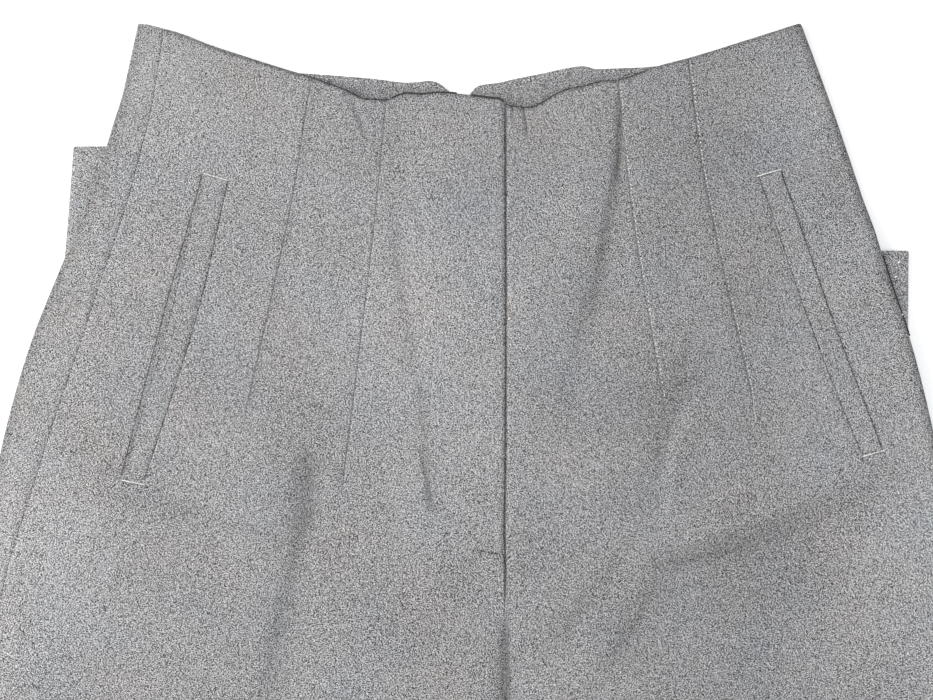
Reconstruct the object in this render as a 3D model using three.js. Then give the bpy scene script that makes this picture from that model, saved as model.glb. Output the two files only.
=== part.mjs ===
// High-waisted dress trousers, laid face up and folded at the knees, with both lower legs doubled up behind the body.
// Millimetres. X runs to the wearer's left, Y towards the waist, Z up from the surface that the trousers lie on.
// The sizes below are measured from the centre front of the waistline, and the finished group is then moved so that
// the middle of its underside is at the origin.
import * as THREE from "three";

// Cloth and the way its layers lie on each other. Heights are of the middle of a layer.
const CLOTH = 1.1; // thickness of one layer of suiting, with its interlining
const SEAM_GAP = 0.3; // space between neighbouring pieces
const EDGE_RADIUS = 1.15; // of the fold at a side edge
const RING_HEIGHT = 2 * EDGE_RADIUS; // front layer above back layer at an edge
const QUARTER = (Math.PI / 2) * EDGE_RADIUS; // cloth from the tip of an edge fold to the flat
const LEG_STACK = RING_HEIGHT + CLOTH; // a lower leg lying flat, both layers
const BACK_LOW = CLOTH / 2; // the back layer where it lies on the surface
const BACK_HIGH = LEG_STACK + SEAM_GAP + CLOTH / 2; // and where it lies on a lower leg
const FOLD_AXIS_HEIGHT = LEG_STACK + SEAM_GAP / 2; // the knee folds turn about this height
const LOFT = 1.5; // extra air under the front away from the edges
const LOFT_REACH = 42; // distance over which it builds up from an edge
const BACK_SLOPE = 26; // how far out from a lower leg the back layer comes down
const FRONT_SLOPE = 38; // and the front layer, which bridges more
const SUPPORT_MARGIN = 5; // both stay up over this much past a lower leg's outline

// Lengths down the garment.
const SIDE_RISE = 41; // the waistline at the side edges, above the centre front
const BOW_END = -300; // where the front's rows stop following the curve of the waistline
const BOW_POWER = { right: 1.9, left: 1.5 }; // how the curve rises to each side
const CROTCH = -304; // the centre seams start to turn down into the crotch
const CROTCH_TURN = 8; // and have turned down after this length
const FLY_END = -235; // bar tack at the foot of the fly

// The legs, as they lie: knee fold, hem, the corners of the hem, and how far the folded leg's outer edge curves in.
const LEGS = {
  right: { name: "right", side: 1, fold: -536, hem: -25.4, hemOuter: -224, hemInner: -14, curve: 4 },
  left: { name: "left", side: -1, fold: -566, hem: -81, hemOuter: 207.8, hemInner: -2.2, curve: 13 },
};
const CENTRE_DRIFT = -12; // the gap between the legs wanders this far by the knees
const LEG_GAP = 4.8; // its width there
const HEM_OPENING = 22; // how deep the open end of a lower leg goes

// The flat outline: side edges, and the right side seam, which lies on the top.
const OUTLINE = [
  { y: 55, right: -189.5, left: 151, seam: -178 },
  { y: 41, right: -192, left: 156, seam: -179 },
  { y: 0, right: -199.7, left: 169.8, seam: -183.3 },
  { y: -30, right: -207, left: 178.5, seam: -189 },
  { y: -60, right: -216, left: 187, seam: -196 },
  { y: -95, right: -228.5, left: 196, seam: -206 },
  { y: -130, right: -240.5, left: 205, seam: -215.5 },
  { y: -165, right: -249, left: 212.5, seam: -226 },
  { y: -200, right: -256, left: 218.5, seam: -235.5 },
  { y: -240, right: -262.5, left: 223.5, seam: -246 },
  { y: -310, right: -269, left: 229.5, seam: -257 },
  { y: -380, right: -269, left: 231.5, seam: -260 },
  { y: -460, right: -263, left: 231, seam: -255 },
  { y: -536, right: -254, left: 229, seam: -247 },
  { y: -580, right: -250, left: 228, seam: -243 },
];
const LEFT_SEAM_UNDER = 5.5; // the left side seam lies this far round the edge, underneath

// The waistline: height of the front and back edges above the centre front, across the garment.
const WAISTLINE = [
  { x: -192, front: 41, back: 41 },
  { x: -170, front: 35, back: 33 },
  { x: -140, front: 24.5, back: 23 },
  { x: -112, front: 14.5, back: 15.5 },
  { x: -90, front: 6.5, back: 13.5 },
  { x: -73, front: -1.5, back: 12 },
  { x: -60, front: -1.5, back: 10.5 },
  { x: -50, front: 1.8, back: 9.6 },
  { x: -35, front: 1.6, back: 9.3 },
  { x: -18, front: 0.7, back: 8 },
  { x: -2, front: -1.5, back: 9.5 },
  { x: 5, front: -6, back: 10.7 },
  { x: 15, front: -6, back: 13 },
  { x: 26, front: 0, back: 15.5 },
  { x: 38, front: 5.6, back: 17.8 },
  { x: 60, front: 9.4, back: 17 },
  { x: 78, front: 16, back: 18 },
  { x: 100, front: 22, back: 21 },
  { x: 130, front: 32.5, back: 31 },
  { x: 156, front: 41, back: 41 },
];
const WAIST_EDGE = { right: -192, left: 156 };
const DETAIL_DEPTH = 45; // how far down the front its dips still show

// Centre back seam, and the V notch at its top.
const CENTRE_BACK = -21; // at the waist, running to the centre at the crotch
const NOTCH = { depth: 9.5, right: 15, left: 8 };

// Lines down the front, each through three points. A tuck is stitched down as far as its third.
const TUCKS = {
  right: { outer: [[-99, 12], [-109.5, -60], [-130, -163]], inner: [[-61, 3], [-67.5, -72], [-81, -197]] },
  left: { outer: [[96.5, 24], [103, -52], [125, -158]], inner: [[60, 12], [66.5, -68], [79, -157]] },
};
const TUCK_GROOVE = 0.6; // depth of the line
const TUCK_STEP = 0.6; // the cloth stands this much higher on the side where the tuck lies
const TUCK_DEPTH = 14; // how far that reaches
const TUCK_LIP = 2.2; // half the width of the line
const TUCK_FADE = 60; // the line runs out over this length below its stitching

// Slanted welt pockets: the two long edges of each welt, in the same way, and its ends at their middle.
const WELTS = {
  right: { outer: [[-155, -42], [-172.5, -115], [-191, -198]], inner: [[-143, -45], [-156, -115], [-179, -199]] },
  left: { outer: [[143, -39], [165.5, -115], [188, -183]], inner: [[132, -43], [153, -115], [178.5, -187]] },
};
const WELT_CLOTH = 1;

// The fly: the right front laps over the left, which carries on under it as a shield as far as shieldEnd.
const FLY = { overlap: 38, shield: 32, raise: 1.8, rise: 24, drop: 2.9, ease: 14, shieldEnd: -222 };
const ZIP = { top: -16, bottom: -214, cloth: 0.8 };

// The shaped facing inside the back waist.
const FACING = { cloth: 0.8, depth: 60, setBack: 1.2 };

// The largest folds in the front, as troughs along a curve of three points. A negative depth is a ridge.
const FOLDS = [
  { name: "beside the left inner tuck", from: [58, 10], via: [58, -70], to: [20, -182], depth: 1.1, width: 8 },
  { name: "left pocket to crotch", from: [208, -184], via: [120, -232], to: [64, -244], depth: 1.2, width: 9 },
  { name: "on down the left thigh", from: [88, -234], via: [60, -268], to: [42, -310], depth: 1.1, width: 9 },
  { name: "ridge above them", from: [180, -180], via: [110, -212], to: [56, -230], depth: -0.6, width: 9 },
  { name: "below the left tucks", from: [104, -120], via: [84, -180], to: [74, -232], depth: 0.8, width: 9 },
  { name: "beside the fly", from: [-60, -50], via: [-46, -130], to: [-38, -236], depth: 0.5, width: 7 },
  { name: "right thigh", from: [-96, -172], via: [-98, -240], to: [-122, -340], depth: 1.2, width: 9 },
  { name: "left of the crotch", from: [58, -236], via: [34, -266], to: [8, -296], depth: 0.8, width: 8 },
  { name: "into the crotch", from: [0, -262], via: [0, -300], to: [-1, -345], depth: 0.9, width: 7 },
  { name: "outer right knee", from: [-236, -360], via: [-186, -420], to: [-168, -505], depth: 0.9, width: 13 },
  { name: "inner right knee", from: [-40, -350], via: [-62, -420], to: [-56, -500], depth: 0.8, width: 12 },
  { name: "outer left knee", from: [196, -320], via: [168, -410], to: [172, -530], depth: 0.9, width: 13 },
  { name: "inner left knee", from: [34, -352], via: [58, -430], to: [46, -525], depth: 0.8, width: 12 },
];
const FOLD_STEPS = 12; // straight pieces that a fold's curve is measured in

// Rows of cloth, by their height at the side edge, and the turns of the knee fold in degrees.
const BODY_ROWS = {
  right: [41, 35, 26, 14, -1, -20.4, -36, -54, -74, -95, -115, -135, -155, -175, -195, -212, -228, -242, -257, -273, -289],
  left: [41, 34, 24, 11, -5, -22, -40, -58, -76, -95, -115, -135, -155, -175, -195, -212, -228, -242, -257, -273, -289],
};
const CROTCH_ROWS = [0, 0.5, 1]; // shares of the crotch's turn
const LEG_ROWS = [-326, -348, -378, -414, -452, -492];
const FOLD_TURNS = [0, 45, 90, 135, 180];

const COLOURS = { cloth: 0x9c9d9e, facing: 0x8c8d90, tape: 0x6f7074 };
const ROUGHNESS = 0.92;

const clamp01 = (t) => Math.min(1, Math.max(0, t));
const smooth = (t) => clamp01(t) ** 2 * (3 - 2 * clamp01(t));
const mix = (a, b, t) => a + (b - a) * t;
const bump = (t) => Math.exp(-t * t);

// The value of a table's column at a place along its key, by a smooth curve through the rows.
function read(table, key, at, column) {
  const rising = table[0][key] < table[1][key];
  const found = table.findIndex((row) => (rising ? row[key] > at : row[key] < at));
  const i = found < 0 ? table.length - 1 : Math.max(1, found);
  const row = (k) => table[Math.min(table.length - 1, Math.max(0, k))];
  const [before, a, b, after] = [row(i - 2), row(i - 1), row(i), row(i + 1)];
  const span = b[key] - a[key];
  const t = clamp01((at - a[key]) / span);
  const slope = (p, q) => ((q[column] - p[column]) / (q[key] - p[key])) * span;
  const [leaving, arriving] = [slope(before, b), slope(a, after)];
  const ease = t * t * (3 - 2 * t);
  return mix(a[column], b[column], ease) + t * (1 - t) * ((1 - t) * leaving - t * arriving);
}

// The x of a line down the front at a height. Past either end it carries on, and straightens.
function lineX(line, y) {
  const [top, middle, end] = line.map(([x, at]) => ({ x, at }));
  const onward = (a, b) => b.x + ((b.x - a.x) / (b.at - a.at)) * (y - b.at) * bump((y - b.at) / 120);
  if (y < end.at) return onward(middle, end);
  if (y > top.at) return onward(middle, top);
  return read([top, middle, end], "at", y, "x");
}

const curvePoint = ([ax, ay], [bx, by], [cx, cy], t) => [
  (1 - t) ** 2 * ax + 2 * t * (1 - t) * bx + t * t * cx,
  (1 - t) ** 2 * ay + 2 * t * (1 - t) * by + t * t * cy,
];

// How far (x, y) is from a fold's curve, and how far along the curve the nearest place is.
function nearest(fold, x, y) {
  let best = { distance: Infinity, along: 0 };
  let [ax, ay] = fold.from;
  for (let i = 1; i <= FOLD_STEPS; i++) {
    const [bx, by] = curvePoint(fold.from, fold.via, fold.to, i / FOLD_STEPS);
    const [dx, dy] = [bx - ax, by - ay];
    const t = clamp01(((x - ax) * dx + (y - ay) * dy) / (dx * dx + dy * dy));
    const distance = Math.hypot(x - ax - t * dx, y - ay - t * dy);
    if (distance < best.distance) best = { distance, along: (i - 1 + t) / FOLD_STEPS };
    [ax, ay] = [bx, by];
  }
  return best;
}

// What the folds add to the height of the front: soft troughs that die away towards their ends.
function foldRelief(x, y) {
  let height = 0;
  for (const fold of FOLDS) {
    const { distance, along } = nearest(fold, x, y);
    if (distance > 3 * fold.width) continue;
    height -= fold.depth * bump(distance / fold.width) * smooth(4 * along) * smooth(4 * (1 - along));
  }
  return height;
}

// A tuck's groove, and the step where its hidden depth lifts the cloth on the side away from the centre.
function tuckRelief(x, y) {
  let height = 0;
  for (const line of Object.values(TUCKS).flatMap((pair) => Object.values(pair))) {
    const held = smooth(1 + (y - line[2][1]) / TUCK_FADE);
    const outward = (x - lineX(line, y)) * Math.sign(x);
    height -= TUCK_GROOVE * held * bump(outward / TUCK_LIP);
    if (outward > 0) height += TUCK_STEP * held * smooth(outward / TUCK_LIP) * (1 - smooth(outward / TUCK_DEPTH));
  }
  return height;
}

// The side edge of the body or of a leg at a height: the middle of the cloth where it turns.
const outerEdge = (leg, y) => read(OUTLINE, "y", y, leg.name) + (leg.side * CLOTH) / 2;

// The inner edge of a leg below the crotch.
function innerEdge(leg, y) {
  const down = CROTCH - CROTCH_TURN - y;
  const half = mix(SEAM_GAP, LEG_GAP, smooth(down / 70)) / 2;
  return CENTRE_DRIFT * smooth(down / 200) - leg.side * (half + CLOTH / 2);
}

// The outside of a lower leg, between its fold and its hem.
function lowerEdges(leg, y) {
  const t = (y - leg.fold) / (leg.hem - leg.fold);
  const out = (leg.side * CLOTH) / 2;
  const curve = 4 * leg.curve * clamp01(t) * (1 - clamp01(t));
  return {
    outer: mix(outerEdge(leg, leg.fold) - out, leg.hemOuter, t) + leg.side * curve,
    inner: mix(innerEdge(leg, leg.fold) + out, leg.hemInner, t),
  };
}

// 1 over the lower legs, falling smoothly to 0 at a distance outside their outlines.
function support(x, y, slope) {
  const clear = Object.values(LEGS).map((leg) => {
    const { outer, inner } = lowerEdges(leg, y);
    const beside = Math.max(0, (outer - x) * leg.side, (x - inner) * leg.side);
    return smooth((Math.hypot(beside, Math.max(0, y - leg.hem)) - SUPPORT_MARGIN) / slope);
  });
  return 1 - clear[0] * clear[1];
}

const backHeight = (x, y) => mix(BACK_LOW, BACK_HIGH, support(x, y, BACK_SLOPE));

// Height of the front layer. Towards an edge it comes down to the back layer plus the edge fold.
function frontHeight(leg, x, y) {
  const fromOuter = (x - outerEdge(leg, y)) * leg.side - EDGE_RADIUS;
  const fromInner = (innerEdge(leg, y) - x) * leg.side - EDGE_RADIUS;
  const split = smooth((CROTCH + 20 - y) / 70);
  const inside = smooth(fromOuter / LOFT_REACH) * mix(1, smooth(fromInner / LOFT_REACH), split);
  const bridge = mix(BACK_LOW, BACK_HIGH, support(x, y, FRONT_SLOPE));
  const base = mix(backHeight(x, y), bridge, smooth(fromOuter / 25));
  const held = smooth((y - FLY_END + 40) / 40);
  const fly = FLY.raise * held * smooth((x + FLY.overlap + 20) / FLY.rise) * smooth((28 - x) / 28);
  const relief = (LOFT + foldRelief(x, y) + tuckRelief(x, y)) * inside * smooth((y - leg.fold) / 70);
  return base + RING_HEIGHT + relief + fly;
}

// The left front drops under the right front at the fly, and is level with it again below.
function flyDrop(x, y) {
  return FLY.drop * smooth((y - FLY_END + 30) / 22) * (1 - smooth((x + 2) / FLY.ease));
}

// The waistline's dips and notch, as a height over the plain curve between the side edges.
function waistDetail(leg, x, face) {
  const plain = SIDE_RISE * clamp01(x / WAIST_EDGE[leg.name]) ** BOW_POWER[leg.name];
  const across = x - CENTRE_BACK;
  const notch = NOTCH.depth * (1 - smooth(Math.abs(across) / (across < 0 ? NOTCH.right : NOTCH.left)));
  return read(WAISTLINE, "x", x, face) - plain - (face === "back" ? notch : 0);
}

// A row's height in the plan at x. Each row is named by its height at the side edge. The front's rows follow the bow of
// the waistline down to the crotch, and the back's straighten just above the hem that lies under them.
function rowY(leg, row, x, face) {
  if (row.edge < BOW_END) return row.edge;
  const share = clamp01(x / outerEdge(leg, row.edge));
  const front = face === "front";
  const last = front ? BOW_END : leg.hem + SUPPORT_MARGIN;
  const t = clamp01((row.edge - last) / (SIDE_RISE - last));
  const bow = front ? smooth(t) : t;
  const detail = front ? smooth(1 + (row.edge - SIDE_RISE) / DETAIL_DEPTH) : t;
  const beyond = Math.sign(x) === Math.sign(WAIST_EDGE[leg.name]) ? 0 : x;
  const waistX = share * WAIST_EDGE[leg.name] + beyond;
  return row.edge - SIDE_RISE * bow * (1 - share ** BOW_POWER[leg.name]) + detail * waistDetail(leg, waistX, face);
}

// Where the arc of the inner edge fold is centred.
const innerArc = (leg, row) => innerEdge(leg, row.edge) - leg.side * EDGE_RADIUS;

// A point in the middle of the cloth on a leg's ring. s is the distance round it from the tip of the side edge: over
// the top if it is positive, and underneath if it is negative.
function ringPoint(leg, row, s) {
  const face = s >= 0 ? "front" : "back";
  const up = s >= 0 ? 1 : -1;
  const arc = outerEdge(leg, row.edge) + leg.side * EDGE_RADIUS;
  const flat = arc + leg.side * (Math.abs(s) - QUARTER);
  const past = row.open > 0 ? Math.max(0, (flat - innerArc(leg, row)) * leg.side) : 0;
  const turning = Math.abs(s) < QUARTER ? Math.abs(s) / EDGE_RADIUS : Math.PI / 2 - past / EDGE_RADIUS;
  const centre = Math.abs(s) < QUARTER ? arc : past > 0 ? innerArc(leg, row) : flat;
  const y = rowY(leg, row, centre, face);
  const top = frontHeight(leg, centre, y) - (leg.side < 0 ? flyDrop(centre, y) : 0);
  const bottom = backHeight(centre, y);
  const away = Math.abs(s) < QUARTER ? -leg.side : leg.side;
  const x = centre + away * EDGE_RADIUS * Math.cos(turning) * (centre === flat ? 0 : 1);
  const z = (top + bottom) / 2 + ((up * (top - bottom)) / 2) * Math.sin(turning);
  const turn = THREE.MathUtils.degToRad(row.turn);
  const arm = z - FOLD_AXIS_HEIGHT;
  return new THREE.Vector3(x, y - arm * Math.sin(turn), FOLD_AXIS_HEIGHT + arm * Math.cos(turn));
}

// The distance round the ring of a place on the top with this x.
const ringDistance = (leg, row, x) => (x - outerEdge(leg, row.edge)) * leg.side - EDGE_RADIUS + QUARTER;

// The distance of the end of a panel: at x above the crotch, and at the inseam below it.
function ringEnd(leg, row, x) {
  const inseam = ringDistance(leg, row, innerArc(leg, row)) + QUARTER - SEAM_GAP / 2;
  return mix(ringDistance(leg, row, x), inseam, row.open);
}

// The distance of a line down the front, where it crosses a row.
function lineDistance(leg, row, line) {
  let x = lineX(line, row.edge);
  for (let i = 0; i < 4; i++) x = lineX(line, rowY(leg, row, x, "front"));
  return ringDistance(leg, row, x);
}

// Columns of a row: each guide is a distance, and the number of columns up to it from the one before.
function columnsThrough(guides) {
  const columns = [guides[0][0]];
  for (let i = 1; i < guides.length; i++) {
    const [end, count] = guides[i];
    for (let k = 1; k <= count; k++) columns.push(mix(guides[i - 1][0], end, k / count));
  }
  return columns;
}

// The middle of a panel's cloth: rows of points, with their normals out of the garment.
function panel(leg, rows, guidesOf) {
  const columns = rows.map((row) => columnsThrough(guidesOf(row)));
  const points = rows.map((row, i) => columns[i].map((s) => ringPoint(leg, row, s)));
  const normals = rows.map((row, i) =>
    columns[i].map((s, j) => {
      const across = ringPoint(leg, row, s + 0.2).sub(ringPoint(leg, row, s - 0.2)).multiplyScalar(leg.side);
      const down = points[Math.min(rows.length - 1, i + 1)][j].clone().sub(points[Math.max(0, i - 1)][j]);
      return down.cross(across).normalize();
    }),
  );
  return { points, normals };
}

// Part of a panel, moved out along its normals. Rows and columns are numbers that may lie between the panel's own.
function patch({ points, normals }, rows, columns, lift) {
  const at = (table, i, j) => {
    const [low, high] = [Math.floor(i), Math.ceil(i)];
    return table[low][j].clone().lerp(table[high][j], i - low);
  };
  return {
    points: rows.map((i) => columns.map((j) => at(points, i, j).addScaledVector(at(normals, i, j).normalize(), lift))),
    normals: rows.map((i) => columns.map((j) => at(normals, i, j).normalize())),
  };
}

// The panel's own rows between two heights in a column, with a part row at each end.
function rowsBetween({ points }, column, top, bottom) {
  const place = (y) => {
    const next = points.findIndex((row) => row[column].y < y);
    const [above, below] = [points[next - 1][column].y, points[next][column].y];
    return next - 1 + (above - y) / (above - below);
  };
  const [first, last] = [place(top), place(bottom)];
  const inner = [];
  for (let i = Math.ceil(first + 0.2); i < last - 0.2; i++) inner.push(i);
  return [first, ...inner, last];
}

// A geometry whose faces point out, whichever way round its triangles were listed.
function outward(positions, triangles) {
  const corner = (k) => new THREE.Vector3().fromArray(positions, 3 * k);
  let volume = 0;
  for (let k = 0; k < triangles.length; k += 3) {
    volume += corner(triangles[k]).dot(corner(triangles[k + 1]).cross(corner(triangles[k + 2])));
  }
  const geometry = new THREE.BufferGeometry();
  geometry.setAttribute("position", new THREE.Float32BufferAttribute(positions, 3));
  geometry.setIndex(volume < 0 ? triangles.reverse() : triangles);
  geometry.computeVertexNormals();
  return geometry;
}

// A closed wall with the panel in the middle of its thickness.
function wall({ points, normals }, thickness) {
  const [rows, columns] = [points.length, points[0].length];
  const positions = [thickness / 2, -thickness / 2].flatMap((lift) =>
    points.flatMap((row, i) => row.flatMap((p, j) => p.clone().addScaledVector(normals[i][j], lift).toArray())),
  );
  const inside = rows * columns;
  const at = (i, j) => i * columns + j;
  const triangles = [];
  const quad = (a, b, c, d) => triangles.push(a, b, c, a, c, d);
  for (let i = 0; i + 1 < rows; i++) {
    for (let j = 0; j + 1 < columns; j++) {
      const [a, b, c, d] = [at(i, j), at(i, j + 1), at(i + 1, j + 1), at(i + 1, j)];
      quad(a, b, c, d);
      triangles.push(inside + a, inside + c, inside + b, inside + a, inside + d, inside + c);
    }
  }
  const rim = [];
  for (let j = 0; j + 1 < columns; j++) rim.push(at(0, j));
  for (let i = 0; i + 1 < rows; i++) rim.push(at(i, columns - 1));
  for (let j = columns - 1; j > 0; j--) rim.push(at(rows - 1, j));
  for (let i = rows - 1; i > 0; i--) rim.push(at(i, 0));
  rim.forEach((a, k) => {
    const b = rim[(k + 1) % rim.length];
    quad(b, a, inside + a, inside + b);
  });
  return outward(positions, triangles);
}

// A closed body through rings with equal numbers of points, with a cap on the first and the last.
function throughRings(rings) {
  const count = rings[0].length;
  const positions = rings.flat().flatMap((p) => p.toArray());
  const triangles = [];
  for (let i = 0; i + 1 < rings.length; i++) {
    for (let j = 0; j < count; j++) {
      const [a, b] = [i * count + j, i * count + ((j + 1) % count)];
      triangles.push(a, b, b + count, a, b + count, a + count);
    }
  }
  for (const [ring, start] of [[rings[0], 0], [rings.at(-1), (rings.length - 1) * count]]) {
    const centre = ring.reduce((sum, p) => sum.add(p), new THREE.Vector3()).divideScalar(count);
    const hub = positions.length / 3;
    positions.push(...centre.toArray());
    for (let j = 0; j < count; j++) {
      const [a, b] = [start + j, start + ((j + 1) % count)];
      triangles.push(...(start === 0 ? [hub, b, a] : [hub, a, b]));
    }
  }
  return outward(positions, triangles);
}

// All rows of a leg's panels, from the waist to the far side of the knee fold.
function rowsOf(leg) {
  const plain = (edge) => ({ edge, open: 0, turn: 0 });
  const crotch = CROTCH_ROWS.map((share) => ({ edge: CROTCH - share * CROTCH_TURN, open: share, turn: 0 }));
  const below = LEG_ROWS.map((edge) => ({ edge, open: 1, turn: 0 }));
  const fold = FOLD_TURNS.map((turn) => ({ edge: leg.fold, open: 1, turn }));
  return [...BODY_ROWS[leg.name].map(plain), ...crotch, ...below, ...fold];
}

// Guides across a front panel, from its side seam over the pocket and the tucks to its centre edge.
function frontGuides(leg, row, start, end, centre) {
  const welt = WELTS[leg.name];
  const tuck = TUCKS[leg.name];
  const [outer, inner] = [lineDistance(leg, row, tuck.outer), lineDistance(leg, row, tuck.inner)];
  return [
    ...start,
    [lineDistance(leg, row, welt.outer), 2],
    [lineDistance(leg, row, welt.inner), 2],
    [outer - TUCK_LIP, 3], [outer, 1], [outer + TUCK_LIP, 1],
    [inner - TUCK_LIP, 3], [inner, 1], [inner + TUCK_LIP, 1],
    ...centre.map((x) => [ringDistance(leg, row, row.open > 0 ? innerEdge(leg, row.edge) + x : x), 1]),
    [end.turn, 1], [end.edge, 3],
  ];
}

const { right, left } = LEGS;
const rows = { right: rowsOf(right), left: rowsOf(left) };

// The right side seam is on the top.
const rightSeam = (row) => ringDistance(right, row, read(OUTLINE, "y", row.edge, "seam"));

const frontRight = panel(right, rows.right, (row) => {
  const edge = ringEnd(right, row, -SEAM_GAP / 2);
  return frontGuides(right, row, [[rightSeam(row) + SEAM_GAP / 2, 0]], { turn: edge - QUARTER, edge }, [-FLY.overlap, -24, -11]);
});

// The left front starts just under its edge and ends at the fly shield.
const frontLeft = panel(left, rows.left, (row) => {
  const shield = FLY.shield * smooth((row.edge - FLY.shieldEnd + 20) / 20);
  const edge = ringEnd(left, row, SEAM_GAP / 2 - shield);
  const start = [[-LEFT_SEAM_UNDER, 0], [-QUARTER, 1], [0, 2], [QUARTER, 2]];
  return frontGuides(left, row, start, { turn: edge - Math.max(QUARTER, shield - 2), edge }, [26, 12, 5]);
});

// A back panel runs underneath, from its side seam to the centre back or the inseam. One column follows the edge of the
// lower leg that it lies on.
function backPanel(leg, start) {
  return panel(leg, rows[leg.name], (row) => {
    const centreY = rowY(leg, row, CENTRE_BACK, "back");
    const centreX = mix(0, CENTRE_BACK, clamp01((centreY - CROTCH) / -CROTCH));
    const end = ringEnd(leg, row, centreX - (leg.side * SEAM_GAP) / 2);
    const { outer } = lowerEdges(leg, rowY(leg, row, outerEdge(leg, row.edge), "back"));
    const first = start(row);
    const upOn = Math.max(Math.max(QUARTER, -first[first.length - 1][0]) + 2, ringDistance(leg, row, outer) - SUPPORT_MARGIN);
    const notch = end - (leg.side > 0 ? NOTCH.right : NOTCH.left);
    return [
      ...first,
      [-upOn, 1], [-upOn - 14, 1], [-upOn - 28, 1], [-notch, 4],
      [-(notch + end) / 2, 1], [-end + QUARTER, 1], [-end, 2],
    ];
  });
}

const backRight = backPanel(right, (row) => [[rightSeam(row) - SEAM_GAP / 2, 0], [QUARTER, 1], [0, 2], [-QUARTER, 2]]);
const backLeft = backPanel(left, () => [[-LEFT_SEAM_UNDER - SEAM_GAP, 0]]);

function named(name, geometry, color = COLOURS.cloth) {
  const mesh = new THREE.Mesh(geometry, new THREE.MeshStandardMaterial({ color, roughness: ROUGHNESS, metalness: 0 }));
  mesh.name = name;
  return mesh;
}

// A welt lies on its front panel, over the columns between the lines of its two long edges.
function welt(front, leg, firstColumn) {
  const { outer, inner } = WELTS[leg.name];
  const [top, bottom] = [0, 2].map((k) => (outer[k][1] + inner[k][1]) / 2);
  const columns = [0, 1, 2].map((k) => firstColumn + k);
  const lift = CLOTH / 2 + SEAM_GAP + WELT_CLOTH / 2;
  return wall(patch(front, rowsBetween(front, columns[1], top, bottom), columns, lift), WELT_CLOTH);
}

// The facing lies inside its back panel, and its top edge is rolled a little to the inside.
function facing(back, firstColumn) {
  const lift = -(CLOTH / 2 + SEAM_GAP + FACING.cloth / 2);
  const last = back.points[0].length - 1;
  const columns = Array.from({ length: last - firstColumn + 1 }, (_, k) => firstColumn + k);
  const top = back.points[0][last].y - FACING.setBack;
  return wall(patch(back, rowsBetween(back, last, top, top - FACING.depth), columns, lift), FACING.cloth);
}

// The zip tape lies under the fly's overlap.
function zipTape(front) {
  const last = front.points[0].length - 1;
  const columns = [last - 5, last - 4, last - 3];
  const lift = -(CLOTH / 2 + SEAM_GAP + ZIP.cloth / 2);
  return wall(patch(front, rowsBetween(front, last - 4, ZIP.top, ZIP.bottom), columns, lift), ZIP.cloth);
}

// The outline of a flat leg across a height: half circles at the edges, straight runs above and below.
function legRing(leg, y, inset, radius) {
  const { outer, inner } = lowerEdges(leg, y);
  const [low, high] = [Math.min(outer, inner) + inset + radius, Math.max(outer, inner) - inset - radius];
  const middle = LEG_STACK / 2;
  const [runs, turns] = [4, 6];
  const points = [];
  for (const [from, to, start] of [[low, high, Math.PI / 2], [high, low, -Math.PI / 2]]) {
    for (let k = 0; k < turns; k++) {
      const angle = start + (Math.PI * k) / turns;
      points.push(new THREE.Vector3(from + radius * Math.cos(angle), y, middle + radius * Math.sin(angle)));
    }
    const side = -Math.sign(Math.sin(start));
    for (let k = 0; k < runs; k++) points.push(new THREE.Vector3(mix(from, to, k / runs), y, middle + side * radius));
  }
  return points;
}

// A lower leg folded under: its two hidden layers are one rounded body, and part at the open hem.
function lowerLeg(leg) {
  const outside = LEG_STACK / 2;
  const inside = outside - CLOTH;
  const outer = [0, 0.2, 0.4, 0.6, 0.8, 0.9, 1].map((t) => legRing(leg, mix(leg.fold + SEAM_GAP, leg.hem, t), 0, outside));
  const opening = [0, HEM_OPENING].map((depth) => legRing(leg, leg.hem - depth, CLOTH, inside));
  return throughRings([...outer, ...opening]);
}

const trousers = new THREE.Group();
trousers.add(
  named("front_right", wall(frontRight, CLOTH)),
  named("front_left", wall(frontLeft, CLOTH)),
  named("back_right", wall(backRight, CLOTH)),
  named("back_left", wall(backLeft, CLOTH)),
  named("back_facing_right", facing(backRight, 7), COLOURS.facing),
  named("back_facing_left", facing(backLeft, 1), COLOURS.facing),
  named("welt_right", welt(frontRight, right, 2)),
  named("welt_left", welt(frontLeft, left, 7)),
  named("fly_zip", zipTape(frontRight), COLOURS.tape),
  named("lower_leg_right", lowerLeg(right)),
  named("lower_leg_left", lowerLeg(left)),
);

// The middle of the underside becomes the origin.
const bounds = new THREE.Box3().setFromObject(trousers);
const centre = bounds.getCenter(new THREE.Vector3());
trousers.position.set(-centre.x, -centre.y, -bounds.min.z);

export default trousers;
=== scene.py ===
"""Grey marled dress trousers, laid face up with the legs folded back under the body at the knee.

The cloth is built as thin shells on the same outline, waistline, tucks, pockets and folds as the part's
solids, in the same millimetres, with the finer creases, seams and stitches added. Left and right are the
wearer's.
"""

import math

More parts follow.
